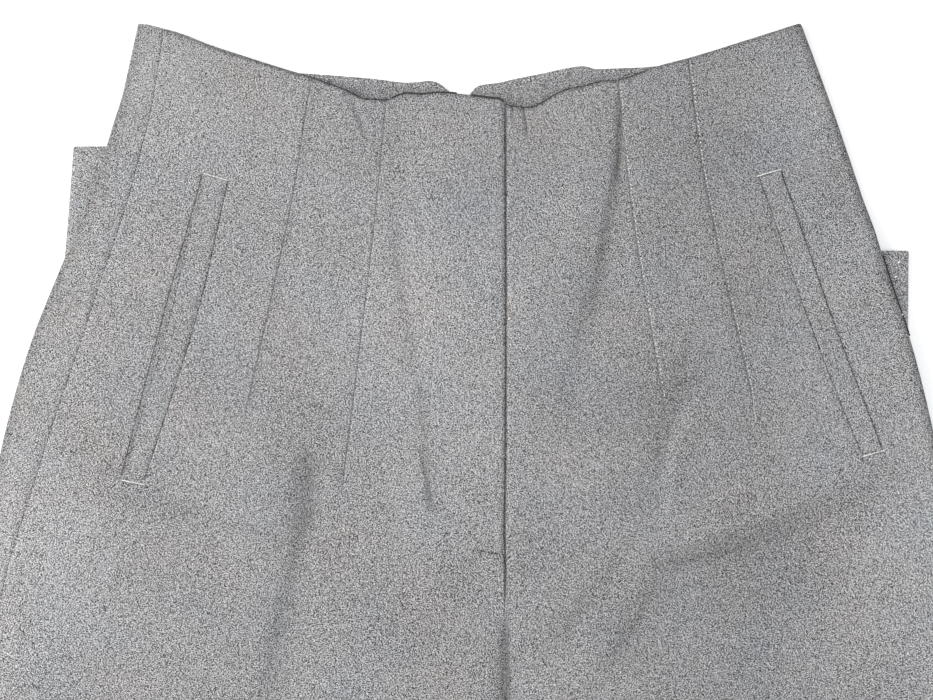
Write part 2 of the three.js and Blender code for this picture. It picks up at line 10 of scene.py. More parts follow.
import bpy
import numpy as np
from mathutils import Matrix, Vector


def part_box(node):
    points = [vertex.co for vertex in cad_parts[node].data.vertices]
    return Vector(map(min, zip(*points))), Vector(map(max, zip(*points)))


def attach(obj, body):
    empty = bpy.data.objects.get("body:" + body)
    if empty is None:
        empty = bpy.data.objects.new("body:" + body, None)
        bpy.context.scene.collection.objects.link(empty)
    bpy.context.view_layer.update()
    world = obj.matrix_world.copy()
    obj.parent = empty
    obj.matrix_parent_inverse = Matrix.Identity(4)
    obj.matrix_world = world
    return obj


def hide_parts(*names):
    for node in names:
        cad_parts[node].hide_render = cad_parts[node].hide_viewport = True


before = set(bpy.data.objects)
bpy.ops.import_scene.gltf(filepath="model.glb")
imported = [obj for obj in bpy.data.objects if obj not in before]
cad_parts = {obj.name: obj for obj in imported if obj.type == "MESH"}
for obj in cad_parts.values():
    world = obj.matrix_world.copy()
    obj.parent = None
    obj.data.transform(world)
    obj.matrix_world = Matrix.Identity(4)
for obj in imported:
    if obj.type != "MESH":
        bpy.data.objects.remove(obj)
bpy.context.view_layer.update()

# Sizes, in millimetres from the centre front waist

CLOTH = 0.9  # one layer of suiting as it shows
CAD_CLOTH = 1.1  # the same in the part's solids, which have their middle surface in common with it
CAD_GAP = 0.3  # between the part's solids
SEAM_GAP = 0.16
EDGE_RADIUS = 1.15  # of the turn from front to back
RING_HEIGHT = 2 * EDGE_RADIUS
QUARTER = math.pi / 2 * EDGE_RADIUS  # round the cloth, from the tip of an edge to where it lies flat
LEG_STACK = RING_HEIGHT + CAD_CLOTH  # height of a folded lower leg
BACK_LOW = CAD_CLOTH / 2  # the middle of a back that lies on the floor
BACK_HIGH = LEG_STACK + CAD_GAP + CAD_CLOTH / 2  # and of one that lies on the lower legs
FOLD_AXIS_HEIGHT = LEG_STACK + CAD_GAP / 2
LOFT = 1.5  # how far the body swells up
LOFT_REACH = 42  # and within what distance of its edges it gets there
WAIST_LOFT = 0.3  # share of the loft that is left at the top edge
WAIST_REACH = 14
SPLIT_RISE, SPLIT_REACH = 20, 70  # the loft parts into two legs from above the crotch, over this distance
KNEE_REACH = 70  # and dies away towards the knee fold over this one
BACK_SLOPE = 26  # the step beside the lower legs, across the back
FRONT_SLOPE = 60  # and across the front, which bridges it
BRIDGE_REACH = 25  # within this distance of its edge
SUPPORT_MARGIN = 5

SIDE_RISE = 41  # how far the ends of the waist lie above its middle
BOW_END = -300  # down to here the rows of the cloth bow less and less
BOW_POWER = {"right": 1.9, "left": 1.5}
CROTCH = -304
CROTCH_TURN = 8  # below it, the centre seam turns into the inseams over this height
FLY_END = -235
CENTRE_DRIFT = -12  # of the gap between the legs, from the crotch down
DRIFT_REACH = 200
LEG_GAP = 4.8
LEG_GAP_REACH = 70

# The legs: which way is inwards, the heights of the knee fold and the hem, the hem's ends, and how far the
# outer edge bulges.
RIGHT = dict(name="right", side=1, fold=-536, hem=-25.4, hem_outer=-224, hem_inner=-14, curve=4)
LEFT = dict(name="left", side=-1, fold=-566, hem=-81, hem_outer=207.8, hem_inner=-2.2, curve=13)

# Height, right edge, left edge, right side seam.
OUTLINE = np.array([
    (-580, -250, 228, -243), (-536, -254, 229, -247), (-460, -263, 231, -255), (-380, -269, 231.5, -260),
    (-310, -269, 229.5, -257), (-240, -262.5, 223.5, -245), (-200, -256, 218.5, -234.5),
    (-165, -249.5, 212.9, -225.4), (-130, -240.5, 205.8, -215.5), (-95, -228.5, 196, -206),
    (-60, -216, 187.4, -196), (-30, -207, 179.2, -189), (0, -200.3, 170.5, -183.3),
    (41, -192.9, 157.2, -179), (55, -190.4, 152.3, -178),
], float)
OUTLINE_COLUMN = {"right": 1, "left": 2, "seam": 3}
LEFT_SEAM_UNDER = 5.5  # the left side seam is under the body, this far round from its edge

# Heights of the waist's front edge across the garment, with its dips beside the tucks and at the fly.
FRONT_WAIST = np.array([
    (-192, 42.3), (-170, 36.1), (-157, 30.6), (-140, 24.5), (-112, 15), (-101, 11.5), (-92, 8),
    (-83, 4.5), (-73, -0.7), (-68.5, -0.9), (-61.5, -1.3), (-52, 2.3), (-44, 1.9), (-33.5, 2.7),
    (-27, 2.4), (-20.5, 1.7), (-7.5, -0.2), (-2, -0.9), (1, -3.5), (5, -5), (9.5, -4.7), (14, -5.1),
    (20, -2.1), (26.5, 2.4), (33, 5.3), (42.5, 7.5), (51, 9.8), (60.5, 10.6), (71, 14.3), (78, 17.5),
    (100, 23.7), (130, 33.5), (156, 42.3),
], float)
# The same for the back edge, with the V notch at the top of the centre back seam.
BACK_WAIST = np.array([
    (-192, 42.3), (-170, 34.2), (-140, 23), (-112, 15.8), (-101.5, 15), (-92.5, 14.3), (-72.5, 12.7),
    (-59.5, 11.1), (-54.5, 10.3), (-45.5, 10.4), (-39, 11.2), (-35, 10.3), (-30, 6.5), (-27, 3.8),
    (-21, -1), (-17, 4.6), (-13, 8.4), (-2, 10.2), (6, 12.2), (19, 14.9), (32, 17.9), (41, 19.3),
    (45, 18.6), (47.5, 17.7), (58.5, 18), (77, 18.9), (100, 22.4), (130, 32), (156, 42.3),
], float)
WAIST_EDGE = {"right": -192, "left": 156}
DETAIL_DEPTH = 45  # the rows of the front follow the waist's dips, less and less, this far down

CENTRE_BACK = -21
NOTCH = dict(right=15, left=8)  # width beside the centre back that is drawn finely, for the notch

TUCKS = {
    "right": {
        "outer": [(-100.3, 12), (-109.8, -60), (-129.5, -163)],
        "inner": [(-61, 3), (-67.1, -72), (-80.5, -197)],
    },
    "left": {
        "outer": [(96.6, 24), (104.4, -52), (123.9, -158)],
        "inner": [(60, 12), (66.3, -68), (79, -157)],
    },
}
TUCK_GROOVE = 0.55
TUCK_STEP = 0.22  # the cloth is doubled outside the line
TUCK_DEPTH = 14  # as far as this
TUCK_LIP = 0.36  # half the width of the stitched line, which is a millimetre or so wide in the photo
TUCK_FADE = 12  # beyond the foot of the line

WELTS = {
    "right": {
        "outer": [(-155.4, -42), (-172.9, -115), (-191.3, -198)],
        "inner": [(-141.8, -45), (-155.5, -115), (-179.2, -199)],
    },
    "left": {
        "outer": [(142.7, -39), (165.1, -115), (187.7, -183)],
        "inner": [(131.3, -43), (152.3, -115), (177.3, -187)],
    },
}
WELT_CLOTH = 0.7
WELT_SINK = 0.75  # the front is pressed down under a welt, which is then nearly level with it
WELT_SIDE, WELT_END = 0.3, 1.5  # the step down to it, at its sides and ends
WELT_DITCH = {"right": 0.3, "left": 0.4}  # and the welt's edges are drawn down into the seam
# The mouth of the right pocket gapes a little, as a second line inside the outer edge of its welt.
MOUTH = [(-160.6, -70), (-169.9, -119), (-187.7, -189)]

# The fly: its overlap and the shield below it, and how the front rises over them and falls again.
FLY = dict(overlap=38, shield=32, lift=1.8, start=20, rise=24, fall=28, fade=40, shield_end=-222)
# How far the left front lies below its own level, where it goes under the right: across, and down.
FLY_DROP = np.array([
    (-6, 2.9), (-2.5, 2.6), (-0.7, 1.7), (0.7, 1.8), (1.6, 0.8), (2.5, 0.16), (3.6, 0),
], float)
DROP_AT_WAIST, DROP_BELOW = 1.3, 2.9  # the most that it may lie below
# The fly's edge and the seam below it wander a little to the right side of the body: height, and across.
CENTRE_LINE = np.array([
    (-310, 0.1), (-280, -0.6), (-250, -1.1), (-220, -1.5), (-180, -0.9), (-120, -0.4), (0, -0.2),
    (60, -0.2),
], float)
FLY_SEAM_GAP = 0.5  # between the fronts, below the fly
# Painted light and shade, scaled into the cloth's colour across the garment: across, and share of light.
PAINTED_LIGHT_ACROSS = np.array([
    (-236, 1.0), (-200, 0.98), (-150, 0.97), (-63, 0.99), (-29, 0.98), (5, 1.0), (40, 0.95), (74, 0.88),
    (120, 0.88), (150, 0.93), (178, 0.99), (209, 1.09),
], float)
# And painted light and shade in patches: where, how far they reach, and how much lighter.
PAINTED_LIGHT_PATCHES = [
    (-40, -108, 38, 0.15), (-222, -228, 28, 0.1), (190, -228, 26, 0.09), (62, -168, 26, -0.06),
    (-103, -185, 24, -0.08), (-68, -28, 22, -0.08), (-3, -38, 26, -0.11), (-160, -30, 26, 0.05),
    (30, -60, 20, 0.07), (160, -98, 20, 0.06), (125, -250, 36, -0.07), (-100, -222, 24, -0.07),
    (-30, -285, 38, -0.08), (97, -30, 22, -0.07), (130, -112, 18, -0.08), (200, -152, 22, -0.06),
    (168, -63, 18, 0.08), (155, -12, 20, 0.05), (121, -18, 18, -0.05), (59, -214, 16, -0.08),
    (-133, -278, 20, -0.06), (-231, -278, 20, 0.08), (192, -278, 20, 0.05), (130, -164, 14, -0.05),
    (62, -278, 16, -0.05),
]
# The hems show the back of the legs, with painted light on the right one and painted shade on the left one.
PAINTED_HEM_LIGHT = {"lower_leg_right_cloth": 1.07, "lower_leg_left_cloth": 0.93}
# Painted shade along folds and creases: start, bend, end, share of light lost, and width. Less than 0
# is painted light.
PAINTED_FOLD_SHADES = [
    ((-58.9, -46), (-54.4, -102), (-45, -156), 0.15, 3.0),
    ((-45, -138), (-39.5, -184), (-35.5, -226), 0.15, 2.2),
    ((-0.6, -262), (-0.5, -290), (-0.1, -334), 0.35, 2.4), ((59.6, 8), (60, -26), (56, -64), 0.18, 2.5),
    ((57.4, -38), (53.5, -84), (37.6, -126), 0.15, 4.8), ((48, -88), (38.5, -128), (23, -178), 0.09, 6.0),
    ((-101.2, -178), (-99.2, -203), (-99, -230), 0.2, 4.8),
    ((-99.4, -208), (-109, -257), (-120.4, -314), 0.17, 3.2),
    ((-190, -206), (-151, -215), (-95, -233), 0.1, 3.6),
    ((66, -221), (42.4, -254), (20, -287), 0.08, 3.4),
    ((78.6, -240), (65, -266), (47.4, -293), 0.12, 2.8),
    ((64, -228.5), (88.7, -236.5), (190, -188.5), -0.11, 3.4),
    ((70, -240), (101.5, -243), (192, -201), 0.10, 4.0), ((95, -119), (78.2, -166), (72, -206), 0.1, 4.2),
    ((103.6, -150), (75.2, -177), (79, -230), -0.22, 3.4),
    ((68, -236), (90, -243.5), (130, -227.5), 0.13, 1.6),
    ((93.5, -116), (92.5, -132), (84, -152), 0.08, 2.0),
    ((-99, -176), (-97, -190), (-98, -206), 0.08, 1.8),
    ((101.5, -28), (106, -83), (130, -174), 0.07, 4.5),
]
# Painted shade beside the seams: share of light lost, how far that reaches, and how far it lies from
# the seam towards the centre front.
PAINTED_SEAM_SHADES = [
    (WELTS["right"]["outer"], 0.25, 1.5, 1.0), (WELTS["right"]["inner"], 0.2, 1.3, -1.2),
    (WELTS["left"]["outer"], 0.3, 0.8, 0), (WELTS["left"]["inner"], 0.12, 1.6, 1.5),
    (TUCKS["right"]["outer"], 0.1, 1.8, 1.8), (TUCKS["left"]["outer"], 0.1, 1.5, 0),
]
PAINTED_FLY_SHADE = (0.3, 0.7, -0.6)  # painted shade beside the edge of the fly, in the same way
SHADE_END = 3  # and it dies away this far beyond each end of the seam
# Painted shade where the cloth turns away at the sides, and along the front's top edge: share lost, and
# how far that reaches.
PAINTED_SIDE_SHADE = {"right": (0.22, 4.2), "left": (0.5, 3.7)}
PAINTED_TOP_SHADE = (0.38, 1.3)
PAINTED_HOLLOW_SHADE = 0.075  # painted shade in folds, painted light on ridges: share lost for each millimetre of a fold's depth
HOLLOW_RANGE = (-1.8, 0.8)
ROUND = 0.8  # how full the rounded edge of a layer is
ZIP = dict(top=-16, bottom=-214, cloth=0.7, gap=0.1)
FACING = dict(cloth=0.7, depth=60, set_back=1.2, gap=0.12)

# Folds: where they start, bend and end, how deep and how wide they are. Negative is a ridge.
FOLDS = [
    ((58, 10), (58, -70), (20, -182), 1.1, 8), ((208, -184), (120, -232), (64, -244), 1.2, 9),
    ((88, -234), (60, -268), (42, -310), 1.1, 9), ((180, -180), (110, -212), (56, -230), -0.6, 9),
    ((104, -120), (84, -180), (74, -232), 0.8, 9), ((-60, -50), (-46, -130), (-38, -236), 0.5, 7),
    ((-96, -172), (-98, -240), (-122, -340), 1.2, 9), ((58, -236), (34, -266), (8, -296), 0.8, 8),
    ((0, -262), (0, -300), (-1, -345), 0.9, 7), ((-236, -360), (-186, -420), (-168, -505), 0.9, 13),
    ((-40, -350), (-62, -420), (-56, -500), 0.8, 12), ((196, -320), (168, -410), (172, -530), 0.9, 13),
    ((34, -352), (58, -430), (46, -525), 0.8, 12),
]
# Narrow creases and puckers, in the same way.
CREASES = [
    ((55, 0), (57, -44), (38, -124), -0.6, 3.2), ((-88, -176), (-84, -224), (-100, -292), -0.3, 5),
    ((59.2, 11), (62.8, -24), (57, -50), 1.5, 1.5), ((61.4, -18), (57, -52), (43, -116), 1.2, 2.8),
    ((-42.5, -180), (-38.4, -197), (-35, -223), 1.3, 1.6), ((-82, 7), (-76, -10), (-69, -27), 1.5, 1.2),
    ((9.4, 4), (10.2, -8), (12.2, -24), 1.6, 1.2), ((3.6, 2), (4.2, -6), (5.2, -16), 1.0, 0.9),
    ((190, -190), (130, -226), (76, -242), 0.45, 3.5), ((74, -242), (62, -266), (48, -292), 0.4, 3.5),
    ((-101, -186), (-94, -224), (-112, -290), 0.4, 3.5), ((48, -246), (36, -262), (18, -282), 0.35, 3.0),
    ((-1, -262), (-1, -300), (-1, -345), 0.9, 2.2), ((-1, -282), (-1, -305), (-1, -350), 0.7, 4.5),
    ((-98, -58), (-50, -61), (-2, -60), 0.12, 2.2), ((-54, -78), (-47, -118), (-43, -160), 0.3, 2.6),
]
FOLD_STEPS = 12  # straight pieces that a fold's curve is read as
LINE_REACH = 120  # a line straightens beyond its ends over this distance


# Small helpers

def smooth(t):
    t = np.clip(t, 0, 1)
    return t * t * (3 - 2 * t)


def mix(a, b, t):
    return a + (b - a) * t


def through(places, values, at):
    """A smooth curve through a table's rows, read at many places."""
    places, values = np.asarray(places, float), np.asarray(values, float)
    slopes = np.empty_like(values)
    slopes[1:-1] = (values[2:] - values[:-2]) / (places[2:] - places[:-2])
    slopes[0] = (values[1] - values[0]) / (places[1] - places[0])
    slopes[-1] = (values[-1] - values[-2]) / (places[-1] - places[-2])
    i = np.clip(np.searchsorted(places, at, side="right") - 1, 0, len(places) - 2)
    span = places[i + 1] - places[i]
    t = np.clip((at - places[i]) / span, 0, 1)
    ease = t * t * (3 - 2 * t)
    bend = t * (1 - t) * ((1 - t) * slopes[i] * span - t * slopes[i + 1] * span)
    return mix(values[i], values[i + 1], ease) + bend


def read(table, at):
    """A table's second column at places in its first, joined by straight lines."""
    return np.interp(at, table[:, 0], table[:, 1])


def curve_of(table, at):
    """The same, joined by a smooth curve."""
    return through(table[:, 0], table[:, 1], at)


def bell(distance, reach):
    return np.exp(-(distance / reach) ** 2)


def line_x(line, y):
    """The x of a line down the front at a height; past either end it carries on, and turns upright."""
    (tx, ty), (mx, my), (ex, ey) = line
    inside = through([ey, my, ty], [ex, mx, tx], y)
    below = ex + (ex - mx) / (ey - my) * (y - ey) * bell(y - ey, LINE_REACH)
    above = tx + (tx - mx) / (ty - my) * (y - ty) * bell(y - ty, LINE_REACH)
    return np.where(y < ey, below, np.where(y > ty, above, inside))


def nearest(curve, x, y):
    """Distance of many points to a three-point curve, and how far along it the nearest place is."""
    (ax, ay), (bx, by), (cx, cy) = curve
    t = np.linspace(0, 1, FOLD_STEPS + 1)
    px = (1 - t) ** 2 * ax + 2 * t * (1 - t) * bx + t * t * cx
    py = (1 - t) ** 2 * ay + 2 * t * (1 - t) * by + t * t * cy
    best = np.full(np.shape(x), np.inf)
    along = np.zeros(np.shape(x))
    for k in range(FOLD_STEPS):
        dx, dy = px[k + 1] - px[k], py[k + 1] - py[k]
        u = np.clip(((x - px[k]) * dx + (y - py[k]) * dy) / (dx * dx + dy * dy), 0, 1)
        d = np.hypot(x - px[k] - u * dx, y - py[k] - u * dy)
        closer = d < best
        best = np.where(closer, d, best)
        along = np.where(closer, (k + u) / FOLD_STEPS, along)
    return best, along


# The garment's form

def outline(column, y):
    return through(OUTLINE[:, 0], OUTLINE[:, OUTLINE_COLUMN[column]], y)


def outer_edge(leg, y):
    return outline(leg["name"], y) + leg["side"] * CAD_CLOTH / 2


def inner_edge(leg, y):
    down = CROTCH - CROTCH_TURN - y
    half = mix(CAD_GAP, LEG_GAP, smooth(down / LEG_GAP_REACH)) / 2
    return CENTRE_DRIFT * smooth(down / DRIFT_REACH) - leg["side"] * (half + CAD_CLOTH / 2)


def lower_edges(leg, y):
    """The outside of a lower leg, between its fold and its hem."""
    t = (y - leg["fold"]) / (leg["hem"] - leg["fold"])
    out = leg["side"] * CAD_CLOTH / 2
    held = np.clip(t, 0, 1)
    curve = 4 * leg["curve"] * held * (1 - held)
    outer = mix(outer_edge(leg, leg["fold"]) - out, leg["hem_outer"], t) + leg["side"] * curve
    return outer, mix(inner_edge(leg, leg["fold"]) + out, leg["hem_inner"], t)


def support(x, y, slope):
    """1 over the lower legs, falling smoothly to 0 outside them."""
    clear = 1.0
    for leg in (RIGHT, LEFT):
        outer, inner = lower_edges(leg, y)
        beside = np.maximum(0, np.maximum((outer - x) * leg["side"], (x - inner) * leg["side"]))
        distance = np.hypot(beside, np.maximum(0, y - leg["hem"]))
        clear = clear * smooth((distance - SUPPORT_MARGIN) / slope)
    return 1 - clear


def back_height(x, y):
    return mix(BACK_LOW, BACK_HIGH, support(x, y, BACK_SLOPE))


def ends_fade(along):
    """A fold dies away over the first and the last quarter of its length."""
    return smooth(4 * along) * smooth(4 * (1 - along))


def fold_relief(x, y):
    height = np.zeros(np.shape(x))
    for start, bend, end, depth, width in FOLDS + CREASES:
        distance, along = nearest((start, bend, end), x, y)
        height -= depth * bell(distance, width) * ends_fade(along)
    return height


def tuck_relief(x, y):
    height = np.zeros(np.shape(x))
    for pair in TUCKS.values():
        for line in pair.values():
            held = smooth(1 + (y - line[2][1]) / TUCK_FADE)
            outward = (x - line_x(line, y)) * math.copysign(1, line[0][0])
            height -= TUCK_GROOVE * held * bell(outward, TUCK_LIP)
            step = smooth(outward / TUCK_LIP) * (1 - smooth(outward / TUCK_DEPTH))
            height += TUCK_STEP * held * step
    return height


def welt_ends(lines):
    return [(lines["outer"][k][1] + lines["inner"][k][1]) / 2 for k in (0, 2)]


def welt_relief(x, y):
    height = np.zeros(np.shape(x))
    for lines in WELTS.values():
        side = math.copysign(1, lines["outer"][0][0])
        top, bottom = welt_ends(lines)
        outer, inner = line_x(lines["outer"], y), line_x(lines["inner"], y)
        within = np.minimum((outer - x) * side, (x - inner) * side)
        ends = smooth((top - y) / WELT_END) * smooth((y - bottom) / WELT_END)
        height -= WELT_SINK * smooth(within / WELT_SIDE + 1) * ends
    return height


def front_height(leg, x, y):
    side = leg["side"]
    from_outer = (x - outer_edge(leg, y)) * side - EDGE_RADIUS
    from_inner = (inner_edge(leg, y) - x) * side - EDGE_RADIUS
    split = smooth((CROTCH + SPLIT_RISE - y) / SPLIT_REACH)
    inside = smooth(from_outer / LOFT_REACH) * mix(1, smooth(from_inner / LOFT_REACH), split)
    bridge = mix(BACK_LOW, BACK_HIGH, support(x, y, FRONT_SLOPE))
    base = mix(back_height(x, y), bridge, smooth(from_outer / BRIDGE_REACH))
    held = smooth((y - FLY_END + FLY["fade"]) / FLY["fade"])
    rise = smooth((x + FLY["overlap"] + FLY["start"]) / FLY["rise"])
    fly = FLY["lift"] * held * rise * smooth((FLY["fall"] - x) / FLY["fall"])
    settled = mix(WAIST_LOFT, 1, below_waist(x, y))
    relief = LOFT * settled + fold_relief(x, y) + tuck_relief(x, y) + welt_relief(x, y)
    relief = relief * inside * smooth((y - leg["fold"]) / KNEE_REACH)
    return base + RING_HEIGHT + relief + fly * settled


def centre_line(y):
    return read(CENTRE_LINE, y)


def below_waist(x, y):
    """0 at the front's top edge, and 1 a little way down from it."""
    return smooth((read(FRONT_WAIST, x) - y) / WAIST_REACH)


def fly_drop(x, y):
    """The left front drops under the right front at the fly, less so at the waist, above the zip."""
    most = mix(DROP_AT_WAIST, DROP_BELOW, below_waist(x, y))
    return np.minimum(read(FLY_DROP, x - centre_line(y)), most) * smooth((y - FLY_END + 30) / 22)


def waist_detail(leg, x, face):
    """How far the waist's edge lies from the plain bow of the rows below it."""
    share = np.clip(x / WAIST_EDGE[leg["name"]], 0, 1)
    waist = FRONT_WAIST if face == "front" else BACK_WAIST
    return curve_of(waist, x) - SIDE_RISE * share ** BOW_POWER[leg["name"]]


def row_y(leg, edge, x, face):
    """Height in the plan of a row of cloth at x. A row is named by its height at the side edge."""
    power = BOW_POWER[leg["name"]]
    share = np.clip(x / outer_edge(leg, edge), 0, 1)
    last = BOW_END if face == "front" else leg["hem"] + SUPPORT_MARGIN
    t = np.clip((edge - last) / (SIDE_RISE - last), 0, 1)
    bow = smooth(t) if face == "front" else t
    detail = smooth(1 + (edge - SIDE_RISE) / DETAIL_DEPTH) if face == "front" else t
    beyond = np.where(np.sign(x) == np.sign(WAIST_EDGE[leg["name"]]), 0, x)
    waist_x = share * WAIST_EDGE[leg["name"]] + beyond
    y = edge - SIDE_RISE * bow * (1 - share ** power) + detail * waist_detail(leg, waist_x, face)
    return np.where(edge < BOW_END, edge, y)


class Rows:
    """Rows of cloth down a leg: the height at the side edge, how far the inseam is turned down, from 0 to 1,
    and how many degrees of the knee fold are behind it."""

    def __init__(self, edge, turned=0, fold=0):
        parts = np.broadcast_arrays(np.asarray(edge, float), turned, fold)
        self.edge, self.turned, self.fold = (part[:, None].astype(float) for part in parts)


def inner_arc(leg, rows):
    return inner_edge(leg, rows.edge) - leg["side"] * EDGE_RADIUS


def ring_points(leg, rows, s):
    """Points in the middle of the cloth; s is the distance round the leg from the tip of its side edge."""
    side = leg["side"]
    up = np.where(s >= 0, 1.0, -1.0)
    arc = outer_edge(leg, rows.edge) + side * EDGE_RADIUS
    flat = arc + side * (np.abs(s) - QUARTER)
    past = np.where(rows.turned > 0, np.maximum(0, (flat - inner_arc(leg, rows)) * side), 0)
    at_edge = np.abs(s) < QUARTER
    turning = np.where(at_edge, np.abs(s) / EDGE_RADIUS, math.pi / 2 - past / EDGE_RADIUS)
    centre = np.where(at_edge, arc, np.where(past > 0, inner_arc(leg, rows), flat))
    y = np.where(s >= 0, row_y(leg, rows.edge, centre, "front"), row_y(leg, rows.edge, centre, "back"))
    top = front_height(leg, centre, y) - (fly_drop(centre, y) if side < 0 else 0)
    bottom = back_height(centre, y)
    away = np.where(at_edge, -side, np.where(past > 0, side, 0))
    x = centre + away * EDGE_RADIUS * np.cos(turning)
    z = (top + bottom) / 2 + up * (top - bottom) / 2 * np.sin(turning)
    turn = np.radians(rows.fold)
    arm = z - FOLD_AXIS_HEIGHT
    y = y - arm * np.sin(turn)
    z = np.where(rows.fold > 0, FOLD_AXIS_HEIGHT + arm * np.cos(turn), z)
    return np.stack(np.broadcast_arrays(x, y, z), -1)


def ring_distance(leg, rows, x):
    """Distance round a leg, from the tip of its side edge to x on the front."""
    return (x - outer_edge(leg, rows.edge)) * leg["side"] - EDGE_RADIUS + QUARTER


def ring_end(leg, rows, x):
    """Where a panel ends: at x in the body, and at the inseam below the crotch."""
    inseam = ring_distance(leg, rows, inner_arc(leg, rows)) + QUARTER - SEAM_GAP / 2
    return mix(ring_distance(leg, rows, x), inseam, rows.turned)


def line_distance(leg, rows, line):
    x = line_x(line, rows.edge)
    for _ in range(5):
        x = line_x(line, row_y(leg, rows.edge, x, "front"))
    return ring_distance(leg, rows, x)


def columns_through(guides):
    """Each guide is a distance for every row, and the number of columns up to it from the one before."""
    columns = [guides[0][0]]
    for (before, _), (end, count) in zip(guides, guides[1:]):
        columns += [mix(before, end, k / count) for k in range(1, count + 1)]
    shape = max(c.shape for c in map(np.asarray, columns))
    return np.concatenate([np.broadcast_to(c, shape) for c in columns], 1)


def around(place, near, wide, beside, fine=0.3):
    """Guides that draw a line sharply, with columns close together beside it."""
    close = [(place + k * fine, 1) for k in (-1, 0, 1, 2)]
    return [(place - wide, near), (place - 2 * fine, beside), *close, (place + wide, beside)]


# From points to meshes

_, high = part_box("lower_leg_right")
SHIFT = np.array([high.x * 1000 - RIGHT["hem_inner"], high.y * 1000 - RIGHT["hem"], 0.0])


def place_in_scene(name, data):
    item = bpy.data.objects.new(name, data)
    bpy.context.scene.collection.objects.link(item)
    return item


def to_scene(points):
    return (np.asarray(points) + SHIFT) / 1000


def normals_of(points, leg, face):
    """Normals out of the garment. The back's columns run the other way round the ring from the front's."""
    across = np.gradient(points, axis=1)
    down = np.gradient(points, axis=0)
    n = np.cross(down, across) * leg["side"] * (1 if face == "front" else -1)
    n = n / np.maximum(np.linalg.norm(n, axis=-1, keepdims=True), 1e-9)
    for _ in range(2 if face == "front" else 0):
        n[:, 1:-1] = n[:, 1:-1] / 2 + (n[:, :-2] + n[:, 2:]) / 4
    return n / np.maximum(np.linalg.norm(n, axis=-1, keepdims=True), 1e-9)


def cloth_lengths(points):
    """Distance along the rows and down the columns, in metres, for the weave."""
    u = np.zeros(points.shape[:2])
    v = np.zeros(points.shape[:2])
    u[:, 1:] = np.cumsum(np.linalg.norm(np.diff(points, axis=1), axis=-1), 1)
    v[1:, :] = np.cumsum(np.linalg.norm(np.diff(points, axis=0), axis=-1), 0)
    u -= u[:, u.shape[1] // 2][:, None]
    if points[0, -1, 0] < points[0, 0, 0]:
        u = -u
    return u / 1000, -v / 1000


def cut_of(points, closed=False):
    """Width, length and area of the flat cut that a piece's mid surface unrolls to, in metres."""
    if closed:
        points = np.concatenate([points, points[:, :1]], 1)
    across = np.linalg.norm(np.diff(points, axis=1), axis=-1)
    down = np.linalg.norm(np.diff(points, axis=0), axis=-1)
    a, b = points[1:, 1:] - points[:-1, :-1], points[1:, :-1] - points[:-1, 1:]
    area = np.linalg.norm(np.cross(a, b), axis=-1).sum() / 2
    return across.sum(1).max() / 1000, down.sum(0).max() / 1000, area / 1e6


CUTS = {}  # of each piece of cloth, by its name


def shell(name, points, normals, thickness, material, closed=False):
    """A thin closed wall of cloth with rounded edges. closed joins the last column to the first."""
    CUTS[name] = cut_of(points, closed)
    rows, columns = points.shape[:2]
    wide = columns + 1 if closed else columns
    u, v = cloth_lengths(np.concatenate([points, points[:, :1]], 1) if closed else points)
    weave = np.stack([u.ravel(), v.ravel()], -1)
    at = np.arange(rows * columns).reshape(rows, columns)
    cloth = np.arange(rows * wide).reshape(rows, wide)
    if closed:
        at = np.concatenate([at, at[:, :1]], 1)

    def cells(table):
        return np.stack([table[:-1, :-1], table[:-1, 1:], table[1:, 1:], table[1:, :-1]], -1).reshape(-1, 4)

    def edges(table):
        if closed:
            return [table[0], table[-1, ::-1]]
        sides = [table[0, :-1], table[:-1, -1], table[-1, :0:-1], table[:0:-1, 0]]
        return [np.concatenate([*sides, table[0, :1]])]

    inside = rows * columns
    half = thickness / 2
    middle, out_of = points.reshape(-1, 3), normals.reshape(-1, 3)
    verts = [middle + out_of * half, middle - out_of * half]
    faces = [cells(at), inside + cells(at)[:, ::-1]]
    maps = [cells(cloth), cells(cloth)[:, ::-1]]
    made = 2 * inside
    for rim, lie in zip(edges(at), edges(cloth)):
        rim = rim[:-1]
        beyond = rim_directions(middle, out_of, rim, points, closed)
        verts.append(middle[rim] + beyond * half * ROUND)
        ring = made + np.arange(len(rim))
        after, following = np.roll(rim, -1), np.roll(ring, -1)
        faces += [np.stack([after, rim, ring, following], -1),
                  np.stack([following, ring, inside + rim, inside + after], -1)]
        here, there = lie[:-1], lie[1:]
        maps += [np.stack([there, here, here, there], -1)] * 2
        made += len(rim)
    weave = weave[np.concatenate(maps).ravel()]
    return solid(name, np.concatenate(verts), np.concatenate(faces), material, weave)


def rim_directions(middle, normals, rim, points, closed):
    """At each point of a raw edge, the direction in the cloth that leads away from it."""
    along = middle[np.roll(rim, -1)] - middle[np.roll(rim, 1)]
    out = np.cross(along, normals[rim])
    out /= np.maximum(np.linalg.norm(out, axis=1, keepdims=True), 1e-9)
    rows, columns = points.shape[:2]
    i, j = rim // columns, rim % columns
    step_in = points[np.clip(i, 1, rows - 2), j if closed else np.clip(j, 1, columns - 2)]
    away = middle[rim] - step_in
    wrong = (out * away).sum(1) < 0
    return np.where(wrong[:, None], -out, out)


def painted_seam_light(x, y):
    """The share of the cloth's colour left under the painted shade beside its seams and the fly's edge."""
    light = np.ones(np.shape(x))
    for line, share, reach, aside in PAINTED_SEAM_SHADES:
        inward = (line_x(line, y) - x) * math.copysign(1, line[0][0])
        above, beyond = line[0][1] + SHADE_END - y, y - line[2][1] + SHADE_END
        held = smooth(above / (2 * SHADE_END)) * smooth(beyond / (2 * SHADE_END))
        light *= 1 - share * held * bell(inward - aside, reach)
    share, reach, aside = PAINTED_FLY_SHADE
    held = smooth((y - FLY_END + 10) / 10)
    return light * (1 - share * held * bell(x - centre_line(y) - aside, reach))


